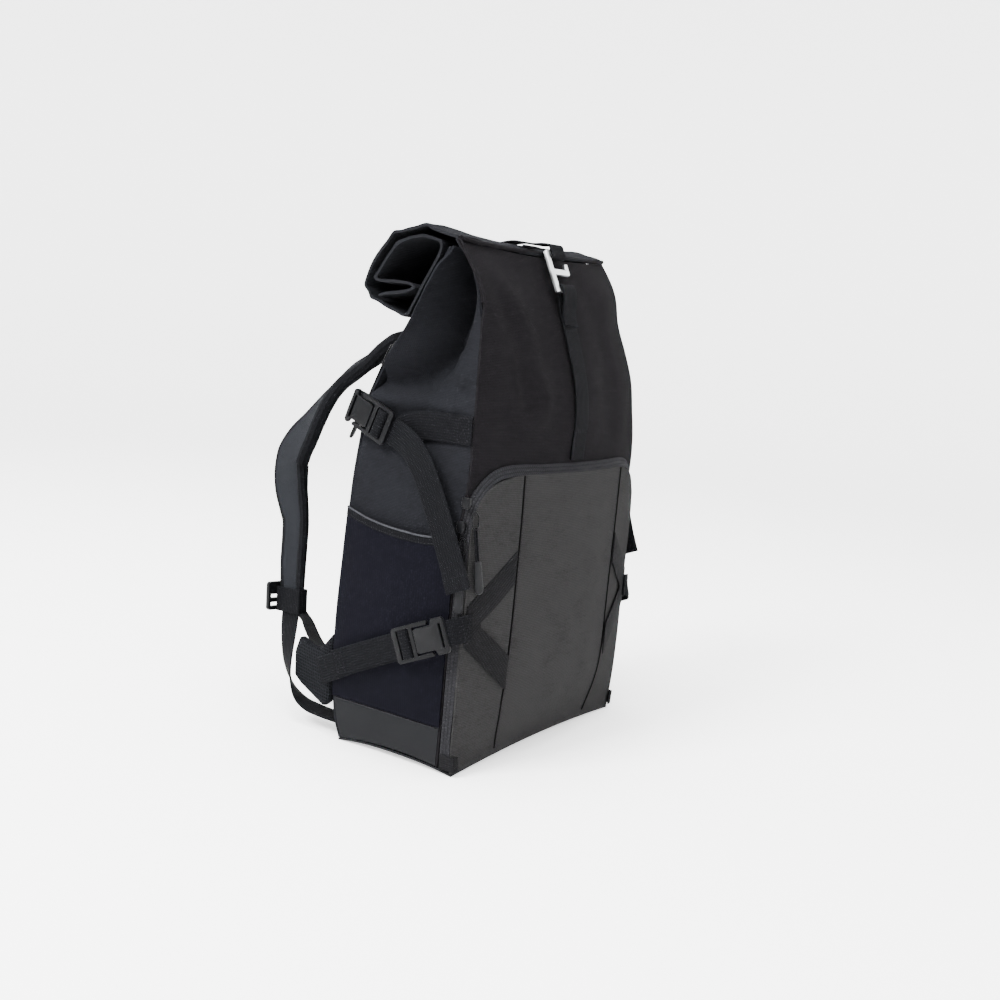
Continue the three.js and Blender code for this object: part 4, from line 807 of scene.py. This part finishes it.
def zigzag(route, run, sign, rows=9):
    """A zigzag seam across a strap's hem."""
    pick = min(int(np.searchsorted(route.run, run)), len(route.run) - 1)
    wide = route.wide[pick] / 2 - 0.002
    rise = (route.thick[pick] * 0.92 + 0.0001) * sign
    marks = [
        route.at(run + (0.0028 if k % 2 else 0.0), u, rise)
        for k, u in enumerate(np.linspace(-wide, wide, rows))
    ]
    return [(a, b, route.out[pick] * sign) for a, b in zip(marks[:-1], marks[1:])]


def edge_rows(route, start, end, inset=0.002, sign=1, steps=24):
    """Two stitched rows along a strap's edges."""
    rows = []
    marks = np.linspace(start, end, steps)
    for u in (-1, 1):
        for low, high in zip(marks[:-1], marks[1:]):
            pick = int(np.searchsorted(route.run, low))
            rise = route.thick[pick] / 2 * sign
            wide = route.wide[pick] / 2 - inset
            first = route.at(low, u * wide, rise)
            second = route.at(high, u * wide, rise)
            rows.append((first, second, route.out[pick] * sign))
    return rows


def cord_piece(name, knots, radius, finish, sides=10, step=0.002, stands_for=(), smooth=True):
    """A round cord, piping or rolled seam through the knots."""
    path = smooth_path(knots, step)[0] if smooth else np.asarray(knots, float)
    along = unit(np.gradient(path, axis=0))
    guide = np.tile(np.array([0.31, 0.52, 0.79]), (len(path), 1))
    aside = unit(np.cross(along, guide))
    for i in range(1, len(path)):
        last = aside[i - 1] - (aside[i - 1] @ along[i]) * along[i]
        aside[i] = last / max(np.linalg.norm(last), 1e-9)
    up = np.cross(along, aside)
    angles = 2 * math.pi * np.arange(sides) / sides
    size = np.full(len(path), radius) if np.isscalar(radius) else np.interp(
        np.linspace(0, 1, len(path)), np.linspace(0, 1, len(radius)), radius
    )
    turn = aside[:, None] * np.cos(angles)[None, :, None] + up[:, None] * np.sin(angles)[None, :, None]
    rings = path[:, None] + turn * size[:, None, None]
    run = np.concatenate([[0], np.cumsum(np.linalg.norm(np.diff(path, axis=0), axis=1))])
    girth = np.append(angles, 2 * math.pi) * float(np.mean(size))
    obj = lofted(name, rings, girth, run)
    return settle_piece(obj, finish, stands_for, angle=80)


def skin_of(*names):
    """The joined faces of finished pieces, to find where a line lies on them."""
    points, faces = [], []
    for name in names:
        mesh = bpy.data.objects[name].data
        base = len(points)
        points += [v.co.copy() for v in mesh.vertices]
        faces += [tuple(base + i for i in face.vertices) for face in mesh.polygons]
    return BVHTree.FromPolygons(points, faces)


def laid_line(skin, marks, way, lift=0.0, step=0.003):
    """A line of marks moved along way until it lies on the skin, with the skin's outward at each point."""
    marks = np.asarray(marks, float)
    runs = np.linalg.norm(np.diff(marks, axis=0), axis=1)
    place = np.concatenate([[0], np.cumsum(runs)])
    count = max(2, int(place[-1] / step))
    way = Vector(way).normalized()
    line, outward = [], []
    for run in np.linspace(0, place[-1], count):
        mark = Vector([float(np.interp(run, place, marks[:, axis])) for axis in range(3)])
        hit, normal, _, _ = skin.ray_cast(mark - way * 0.4, way)
        if hit is None:
            continue
        if normal.dot(way) > 0:
            normal = -normal
        line.append(np.array(hit + normal * lift))
        outward.append(np.array(normal))
    return np.array(line), np.array(outward)


def row_on(line, outward, aside=0.0):
    """A laid line as stitch rows, set aside metres to one side of it."""
    along = unit(np.gradient(line, axis=0))
    moved = line + np.cross(along, outward) * aside
    return [(a, b, n) for a, b, n in zip(moved[:-1], moved[1:], outward[:-1])]


def rim_lines(node, angle=55):
    """The sharp rims of a cloth solid as closed lines of points."""
    mesh = bmesh.new()
    mesh.from_mesh(nodes[node].data)
    bmesh.ops.remove_doubles(mesh, verts=mesh.verts, dist=0.00001)
    sharp = [e for e in mesh.edges if len(e.link_faces) == 2 and e.calc_face_angle(0) > math.radians(angle)]
    links = {}
    for edge in sharp:
        a, b = edge.verts
        links.setdefault(a, []).append(b)
        links.setdefault(b, []).append(a)
    loops, seen = [], set()
    for start in sorted(links, key=lambda v: v.index):
        if start in seen or len(links[start]) != 2:
            continue
        line, last, now = [start], None, start
        while True:
            seen.add(now)
            onward = [v for v in links[now] if v is not last and v not in seen]
            if not onward:
                break
            last, now = now, onward[0]
            line.append(now)
        loops.append(np.array([tuple(v.co) for v in line]))
    mesh.free()
    return loops


def longest_run(line, keep):
    """The longest unbroken stretch of a closed line whose points pass the test."""
    flags = [bool(keep(p)) for p in line]
    if all(flags):
        return line
    start = flags.index(False)
    best, now = [], []
    for k in range(1, len(line) + 1):
        i = (start + k) % len(line)
        if flags[i]:
            now.append(i)
            if len(now) > len(best):
                best = list(now)
        else:
            now = []
    return line[best]


def flat_size(obj):
    """The width and length of the flat cut: half the skin's area, as wide as the piece is."""
    mesh = obj.data
    areas = np.empty(len(mesh.polygons))
    mesh.polygons.foreach_get("area", areas)
    points = coords(obj)
    width = float(np.ptp(points[:, 0]))
    depth = float(np.ptp(points[:, 1]))
    wide = max(width, depth)
    return round(wide, 4), round(float(areas.sum()) / 2 / wide, 4)


def cloth(name, node, finish, levels=2, shape=None, rim=55, crease=1.0):
    """A cloth panel: the solid's sheet smoothed, then moved by shape(points)."""
    obj = merged_copy(node, name)
    crease_rims(obj, rim, crease)
    apply_modifier(obj, "SUBSURF", levels=levels, render_levels=levels)
    if shape is not None:
        points = coords(obj)
        set_coords(obj, points + shape(points))
    measure_by_side(obj)
    settle_piece(obj, finish, [node])
    flat_size(obj)
    return obj


def moulding(name, node, finish, width, segments=3, angle=28):
    """A hard piece: the solid's shape with its edges rounded."""
    obj = merged_copy(node, name)
    bpy.context.view_layer.objects.active = obj
    bpy.ops.object.mode_set(mode="EDIT")
    bpy.ops.mesh.select_all(action="SELECT")
    bpy.ops.mesh.dissolve_limited(angle_limit=math.radians(3))
    bpy.ops.object.mode_set(mode="OBJECT")
    apply_modifier(
        obj,
        "BEVEL",
        width=width,
        segments=segments,
        limit_method="ANGLE",
        angle_limit=math.radians(angle),
        use_clamp_overlap=True,
        harden_normals=False,
    )
    measure_by_side(obj)
    return settle_piece(obj, finish, [node], angle=45)


def flat_webbing(name, node):
    """Webbing sewn down flat: its ribs run along each arm."""
    obj = merged_copy(node, name)
    apply_modifier(obj, "BEVEL", width=0.0004, segments=2, limit_method="ANGLE", angle_limit=math.radians(50))
    points = coords(obj)
    middle = (points[:, 2].min() + points[:, 2].max()) / 2
    reach = np.ptp(points[:, 2])
    mesh = obj.data
    layer = mesh.uv_layers.new(name="measure")
    spread = np.zeros((len(mesh.loops), 2))
    for face in mesh.polygons:
        upper = np.mean([points[i, 2] for i in face.vertices]) > middle
        arm = points[(points[:, 2] > middle) == upper][:, [0, 2]] if reach > 0.06 else points[:, [0, 2]]
        _, _, axes = np.linalg.svd(arm - arm.mean(0), full_matrices=False)
        for loop in face.loop_indices:
            spread[loop] = axes[::-1] @ points[mesh.loops[loop].vertex_index][[0, 2]]
    layer.data.foreach_set("uv", spread.ravel())
    settle_piece(obj, "pocket_webbing", [node])
    flat_size(obj)
    return obj


# The bag's cloth


VALLEY_LINE = [(-0.030, 0.452), (-0.033, 0.415), (-0.021, 0.378), (0.008, 0.344), (0.044, 0.337)]
TUBE_LINE = [(-0.014, 0.445), (-0.006, 0.415), (0.006, 0.385), (0.034, 0.356)]
FACET_LINE = [(-0.056, 0.416), (-0.040, 0.394), (-0.026, 0.368), (-0.036, 0.35)]
FRONT_CREASE = [(-0.146, 0.43), (-0.12, 0.41), (-0.095, 0.375), (-0.085, 0.33)]
SHELF_LINE = [(-0.03, 0.325), (0.01, 0.324), (0.045, 0.322)]
DENT_LINE = [(-0.054, 0.338), (-0.036, 0.331), (-0.022, 0.33)]


def lean(points):
    """The far shoulder of the bag sags in above and swells out lower down."""
    x, _, z = points.T
    share = ease(x, 0.03, 0.15)
    above = bell(z - 0.412, 0.026) * share
    below = bell(z - 0.35, 0.024) * share
    move = np.zeros_like(points)
    move[:, 0] = -0.005 * above + 0.002 * below
    move[:, 1] = 0.0035 * above - 0.002 * below
    return move


def front_folds(points):
    """The front cloth hangs in long soft folds and is slack between its seams."""
    x, z = points[:, 0], points[:, 2]
    inner = ease(0.15 - np.abs(x), 0.0, 0.05) * ease(z, 0.27, 0.31) * ease(0.466 - z, 0.0, 0.04)
    folds = 0.0042 * field(points, 0.05, 3.1, (1, 1, 3.5)) + 0.0012 * field(points, 0.022, 7.7, (1, 1, 2.5))
    distance, _ = near_line(points, [(-0.147, 0.405), (-0.11, 0.38), (-0.06, 0.34)], [0, 2])
    ridge = -0.0018 * bell(distance, 0.011)
    move = lean(points)
    rounding = bell(x + 0.15, 0.01) * ease(z, 0.27, 0.3) * ease(0.41 - z, 0.0, 0.02)
    streak, _ = near_line(points, FRONT_CREASE, [0, 2])
    crease = 0.004 * bell(streak, 0.012) - 0.003 * bell(streak - 0.022, 0.012)
    move[:, 1] += (folds + ridge + crease) * inner + 0.0028 * rounding
    return move


def side_folds(points):
    """The gusset: a full soft tube under the roll, a dark valley beside it and slack cloth below."""
    x, y, z = points.T
    toward = np.sign(x)
    inner = ease(z, 0.04, 0.08) * ease(0.45 - z, 0.0, 0.04)
    swell = 0.0014 * field(points, 0.035, 5.3) + 0.0005 * field(points, 0.014, 9.1)
    valley, _ = near_line(points, VALLEY_LINE, [1, 2])
    tube, _ = near_line(points, TUBE_LINE, [1, 2])
    dent, _ = near_line(points, DENT_LINE, [1, 2])
    facet, _ = near_line(points, FACET_LINE, [1, 2])
    shelf, _ = near_line(points, SHELF_LINE, [1, 2])
    tucks = 0.0075 * bell(tube, 0.016) - 0.0115 * bell(valley, 0.01)
    tucks += 0.0042 * bell(facet, 0.011) - 0.0035 * bell(dent, 0.006) + 0.0085 * bell(shelf, 0.012)
    edge = ease(y, -0.064, -0.04)
    move = lean(points)
    move[:, 0] += toward * (swell * inner + tucks * edge * ease(0.458 - z, 0.0, 0.02))
    return move


ROLL_CORNERS = [(0.0413, 0.4636), (0.0067, 0.4747), (0.0675, 0.4211), (0.0575, 0.4121), (0.0238, 0.3985)]


def roll_folds(points):
    """Creases across the roll, and corners along it that are sharpest near its left end."""
    x = points[:, 0]
    near_end = 0.35 + 0.65 * ease(np.abs(x), 0.06, 0.15)
    move = lean(points)
    heart = np.array([0.032, 0.438])
    sharp = 0.35 + 0.65 * ease(-x, 0.02, 0.14)
    for corner in ROLL_CORNERS:
        away = unit(np.array(corner) - heart)
        distance, _ = near_line(points, [corner - away * 0.004, corner + away * 0.02], [1, 2])
        push = 0.0034 * bell(distance, 0.006) * sharp
        move[:, 1] += away[0] * push
        move[:, 2] += away[1] * push
    move[:, 1] += 0.0018 * field(points, 0.03, 2.2, (0.9, 1, 1)) * near_end
    move[:, 2] += 0.0015 * field(points, 0.026, 6.4, (0.9, 1, 1)) * near_end
    return move


def back_folds(points):
    move = np.zeros_like(points)
    move[:, 1] = 0.0012 * field(points, 0.04, 4.4) * ease(points[:, 2], 0.04, 0.1)
    return move


def pocket_folds(points):
    x, z = points[:, 0], points[:, 2]
    inner = ease(z, 0.02, 0.06) * ease(0.262 - z, 0.0, 0.03)
    move = np.zeros_like(points)
    move[:, 1] = 0.0014 * field(points, 0.05, 8.8, (1, 1, 1.6)) * inner
    return move


def stretch_folds(points):
    x, z = points[:, 0], points[:, 2]
    move = np.zeros_like(points)
    move[:, 0] = np.sign(x) * 0.0007 * field(points, 0.03, 1.9, (1, 1, 2)) * ease(0.21 - z, 0, 0.04)
    return move


def make_cloth():
    cloth("front_panel_cloth", "front_panel", "front_cloth", 3, front_folds)
    cloth("back_panel_cloth", "back_panel", "side_cloth", 2, back_folds)
    for side in SIDES:
        cloth(f"side_panel_cloth_{side}", f"side_panel_{side}", "side_cloth", 3, side_folds)
        cloth(f"side_base_cloth_{side}", f"side_base_{side}", "coated_cloth", 2)
        cloth(f"pocket_side_cloth_{side}", f"pocket_side_{side}", "pocket_cloth", 2, pocket_folds)
        cloth(
            f"stretch_pocket_cloth_{side}", f"stretch_pocket_{side}", "stretch_cloth", 3, stretch_folds
        )
        cloth(f"stretch_binding_tape_{side}", f"stretch_binding_{side}", "webbing", 2)
        flat_webbing(f"pocket_chevron_webbing_{side}", f"pocket_chevron_{side}")
        flat_webbing(f"corner_tab_webbing_{side}", f"corner_tab_{side}")
    cloth("roll_top_cloth", "roll_top", "roll_cloth", 3, roll_folds)
    cloth("pocket_centre_cloth", "pocket_centre", "pocket_cloth", 3, pocket_folds)
    cloth("bottom_panel_cloth", "bottom_panel", "coated_cloth", 2)


CHEVRON_SEAMS = [
    ((-0.092, 0.2), (-0.1335, 0.154), "seam"),
    ((-0.094, 0.172), (-0.13, 0.133), "stitch"),
    ((-0.1325, 0.1145), (-0.094, 0.1005), "stitch"),
    ((-0.13, 0.0955), (-0.094, 0.076), "stitch"),
]


def make_seams():
    """Rolled seams, piping and top stitches along the joins of the cloth."""
    rims = rim_lines("front_panel")
    outer = min(rims, key=lambda line: line[:, 1].mean())
    for side, sign in zip(SIDES, (-1, 1)):
        edge = longest_run(outer, lambda p: p[0] * sign > 0.143 and 0.4 < p[2] < 0.47)
        if len(edge) >= 4:
            edge = edge + lean(edge) + np.array([0.0006 * sign, -0.0002, 0])
            cord_piece(f"front_seam_{side}", edge, 0.001, "front_cloth", step=0.003)
    crest = {}
    for point in coords(nodes["front_panel"]):
        if point[2] > 0.4587 + 0.0295 * (point[0] + 0.15):
            crest.setdefault(round(point[0], 3), []).append(point)
    crest = np.array([min(crest[x], key=lambda p: p[1]) for x in sorted(crest)])
    crest = crest + lean(crest) + np.array([0, 0, 0.0014])
    cord_piece("roll_seam", crest, 0.0022, "front_cloth", step=0.004)
    face = skin_of("pocket_centre_cloth", "pocket_side_cloth_left", "pocket_side_cloth_right")
    for side, sign in zip(SIDES, (-1, 1)):
        marks = [
            (0.0915 * sign, 0, 0.2665),
            (0.0915 * sign, 0, 0.06),
            (0.0885 * sign, 0, 0.035),
            (0.0825 * sign, 0, 0.012),
        ]
        line, outward = laid_line(face, marks, (0, 1, 0), 0.0004)
        cord_piece(f"pocket_seam_{side}", smoothed(line), 0.0007, "seam", smooth=False)
        line, outward = laid_line(face, [(p[0] - 0.003 * sign, 0, p[2]) for p in marks], (0, 1, 0), 0.0)
        stitches(f"pocket_top_stitching_{side}", row_on(line, outward), 0.0026)
        for number, (start, end, look) in enumerate(CHEVRON_SEAMS):
            marks = [(start[0] * sign, 0, start[1]), (end[0] * sign, 0, end[1])]
            around = skin_of(
                "pocket_centre_cloth", f"pocket_side_cloth_{side}", f"pocket_chevron_webbing_{side}"
            )
            line, outward = laid_line(around, marks, (0, 1, 0), 0.0002)
            if len(line) > 3 and look == "seam":
                cord_piece(
                    f"chevron_seam_{number + 1}_{side}", smoothed(line), 0.0007, "seam", smooth=False
                )
            elif len(line) > 3:
                stitches(f"chevron_stitching_{number + 1}_{side}", row_on(line, outward), 0.0026)
        binding = skin_of(f"stretch_binding_tape_{side}")
        base = skin_of(f"side_base_cloth_{side}")
        rows = upper_edge(binding, sign, -0.057, 0.074, 0.26)
        if len(rows) > 4:
            cord_piece(f"stretch_piping_{side}", smoothed(rows), 0.0009, "piping", step=0.003)
            low = [(0, p[1], p[2] - 0.0062) for p in rows]
            line, outward = laid_line(binding, low, (-sign, 0, 0), 0.0)
            if len(line) > 3:
                stitches(f"stretch_binding_stitching_{side}", row_on(line, outward), 0.0028, 0.0012)
        rows = upper_edge(base, sign, -0.056, 0.068, 0.08)
        if len(rows) > 4:
            cord_piece(f"base_piping_{side}", smoothed(rows), 0.0007, "tape", step=0.003)


def smoothed(line, times=3):
    """A line with its small jumps evened out, its two ends kept."""
    line = np.asarray(line, float).copy()
    for _ in range(times):
        line[1:-1] = (line[:-2] + 2 * line[1:-1] + line[2:]) / 4
    return line


def upper_edge(skin, sign, start, end, top):
    """The topmost points of a side skin between two depths, read from above by narrow steps."""
    line = []
    for y in np.linspace(start, end, 40):
        found = None
        for z in np.arange(top, 0.0, -0.0008):
            hit, normal, _, _ = skin.ray_cast(Vector((sign * 0.4, y, z)), Vector((-sign, 0, 0)))
            if hit is not None:
                found = (hit[0] + sign * 0.0004, y, z - 0.0004)
                break
        if found:
            line.append(found)
    return np.array(line)


# Straps


def make_straps():
    for side in SIDES:
        upper, way = strap(
            f"upper_strap_webbing_{side}", f"upper_strap_{side}", first=lambda c: -c[2], hem=0.016
        )
        rows = box_tack(way, 0.003, 0.014, sign=1) + box_tack(way, 0.003, 0.014, sign=-1)
        for sign in (1, -1):
            rows += zigzag(way, way.length - 0.0145, sign)
        stitches(f"upper_strap_stitching_{side}", rows)
        lower, way = strap(f"lower_strap_webbing_{side}", f"lower_strap_{side}", first=lambda c: -abs(c[1]))
        rows = []
        for sign in (1, -1):
            rows += box_tack(way, way.length - 0.012, way.length - 0.003, sign=sign)
            rows += box_tack(way, 0.003, 0.012, sign=sign, cross=False)
        stitches(f"lower_strap_stitching_{side}", rows)
        for end in ("upper", "lower"):
            _, way = strap(f"{end}_anchor_webbing_{side}", f"{end}_strap_anchor_{side}", first=lambda c: abs(c[0]))
            rows = []
            for sign in (1, -1):
                rows += box_tack(way, 0.002, 0.01, sign=sign)
            stitches(f"{end}_anchor_stitching_{side}", rows)
        _, way = strap(f"shoulder_webbing_strap_{side}", f"shoulder_webbing_{side}", first=lambda c: -c[2])
        rows = []
        for sign in (1, -1):
            rows += box_tack(way, way.length - 0.014, way.length - 0.003, sign=sign)
        stitches(f"shoulder_webbing_stitching_{side}", rows)
    _, way = strap("closure_front_webbing", "closure_front_strap", first=lambda c: c[2])
    rows = []
    for sign in (1, -1):
        for low in (0.026, 0.121):
            for step in range(3):
                rows += box_tack(way, low + step * 0.0012, low + step * 0.0012 + 0.0001, sign=sign, cross=False)[:1]
    rows += edge_rows(way, 0.003, 0.028, sign=1) + edge_rows(way, 0.003, 0.028, sign=-1)
    stitches("closure_front_stitching", rows)
    _, way = strap("closure_rear_webbing", "closure_rear_strap", first=lambda c: c[2])
    rows = []
    for sign in (1, -1):
        rows += box_tack(way, 0.004, 0.018, sign=sign)
    stitches("closure_rear_stitching", rows)
    _, way = strap("sternum_strap_webbing", "sternum_strap", ripple=0.0004)
    rows = []
    for sign in (1, -1):
        rows += box_tack(way, 0.002, 0.008, sign=sign, cross=False)
        rows += box_tack(way, way.length - 0.008, way.length - 0.002, sign=sign, cross=False)
    stitches("sternum_strap_stitching", rows)


# Shoulder pads, keepers, wings and back pads


def pad_section(count=44, square=0.42):
    angles = 2 * math.pi * np.arange(count) / count
    cut = lambda v: np.sign(v) * np.abs(v) ** square
    return np.stack([cut(np.cos(angles)), cut(np.sin(angles))], 1), angles


def make_shoulder_pads():
    for side in SIDES:
        node = f"shoulder_pad_{side}"
        route = Route(node, step=0.003, first=lambda c: -c[2])
        section, angles = pad_section()
        puff = np.array([noise.noise(Vector((r * 30, 0.5, 2.0))) for r in route.run])
        half = route.wide / 2 - 0.0006
        deep = route.thick / 2 * (1 + 0.06 * puff)
        rings = (
            route.centre[:, None]
            + route.across[:, None] * (half[:, None] * section[:, 0])[..., None]
            + route.out[:, None] * (deep[:, None] * section[:, 1])[..., None]
        )
        wrinkle = np.array(
            [[noise.noise(Vector((r * 55, a * 1.5, 4.0))) for a in angles] for r in route.run]
        )
        rings += route.out[:, None] * (0.0007 * wrinkle * np.sign(section[:, 1]))[..., None]
        girth = np.append(section[:, 0], section[0, 0]) * float(half.mean()) + 0.04
        pad = lofted(f"shoulder_pad_cover_{side}", rings, girth, route.run)
        settle_piece(pad, "pad_cloth", [node], angle=60)
        for edge, sign in (("outer", 1), ("inner", -1)):
            line = route.centre + route.across * ((half + 0.0002) * sign)[:, None]
            bind = []
            cut = [(-0.0065, 0.8), (-0.003, 0.98), (0.0, 0.6), (0.0008, 0.0), (0.0, -0.6), (-0.003, -0.98), (-0.0065, -0.8)]
            inner = [(-0.0065, -0.66), (-0.0035, -0.8), (-0.001, -0.5), (-0.0004, 0.0), (-0.001, 0.5), (-0.0035, 0.8), (-0.0065, 0.66)]
            for a, b in cut + inner:
                grow = 1.0 if (a, b) in cut else 0.9
                bind.append(
                    line
                    + route.across * (a * sign)
                    + route.out * (deep * b * grow + np.sign(b) * (0.0005 if grow == 1.0 else 0.0))[:, None]
                )
            ring = np.stack(bind, 1)[1:-1]
            measure = np.append(np.linspace(0, 0.03, len(bind)), 0.034)
            tape = lofted(f"shoulder_pad_binding_{edge}_{side}", ring, measure, route.run[1:-1])
            settle_piece(tape, "webbing", angle=60)


def make_back_pads():
    for node, name in (("lumbar_pad", "lumbar_pad_cover"), ("back_pad", "back_pad_cover")):
        obj = merged_copy(node, name)
        crease_rims(obj, 100, 0.6)
        apply_modifier(obj, "SUBSURF", levels=3, render_levels=3)
        measure_by_side(obj)
        settle_piece(obj, "mesh_cloth", [node], angle=70)
    for side in SIDES:
        node = f"hip_wing_{side}"
        wing = moulding(f"hip_wing_cover_{side}", node, "mesh_cloth", 0.0032, 4)


def zip_pull(node):
    """A wire ring, a doubled cord and a flat rubber tab along the pull's own way."""
    route = Route(node, step=0.001, first=lambda c: -c[2])
    long = route.length
    ring_end = 0.24 * long
    turns = np.linspace(0, 2 * math.pi, 25)
    loop = [
        route.at(ring_end / 2 + ring_end * 0.44 * math.cos(a), 0.0038 * math.sin(a)) for a in turns
    ]
    cord_piece(f"{node}_ring", loop[:-1], 0.0008, "buckle_plastic", smooth=True)
    tab_start = 0.6 * long
    for share, label in ((-1, "left"), (1, "right")):
        strand = [route.at(r, 0.0011 * share) for r in np.linspace(ring_end * 0.84, tab_start + 0.004, 14)]
        cord_piece(f"{node}_cord_{label}", strand, 0.0009, "webbing", sides=8)
    marks = np.linspace(tab_start, long, 40)
    section, _ = pad_section(20, 0.6)
    rings = []
    for r in marks:
        share = (r - tab_start) / (long - tab_start)
        half = 0.0036 + 0.0012 * share
        half *= math.sqrt(max(0.02, 1 - max(0.0, (share - 0.84) / 0.16) ** 2))
        half *= math.sqrt(max(0.35, 1 - max(0.0, (0.06 - share) / 0.06) ** 2))
        thick = 0.0014 * min(1.0, half / 0.003)
        rings.append([route.at(r, half * u, thick * v) for u, v in section])
    tab = lofted(f"{node}_tab", np.array(rings), np.linspace(0, 0.02, 21), marks)
    settle_piece(tab, "pull_rubber", [node], angle=50)


def make_hard_pieces():
    for side in SIDES:
        for end in ("upper", "lower"):
            moulding(f"{end}_socket_moulding_{side}", f"{end}_buckle_socket_{side}", "buckle_plastic", 0.0011)
            moulding(f"{end}_ladder_moulding_{side}", f"{end}_buckle_plug_{side}", "buckle_plastic", 0.0009)
        moulding(f"adjuster_moulding_{side}", f"strap_adjuster_{side}", "buckle_plastic", 0.001)
        moulding(f"keeper_sleeve_{side}", f"strap_keeper_{side}", "webbing", 0.0006)
    moulding("closure_hook_casting", "closure_hook", "hook_metal", 0.0014, 4)
    for name in ("pocket_slider_upper", "pocket_slider_lower", "back_slider"):
        moulding(f"{name}_body", name, "buckle_plastic", 0.0009)
    for name in ("pocket_pull_upper", "pocket_pull_lower", "back_pull"):
        zip_pull(name)
    strap("pocket_zip_band_tape", "pocket_zip_band", "tape", first=lambda c: c[0])


place_camera()
lay_floor()
light_studio()
make_cloth()
make_seams()
make_straps()
make_shoulder_pads()
make_back_pads()
make_hard_pieces()
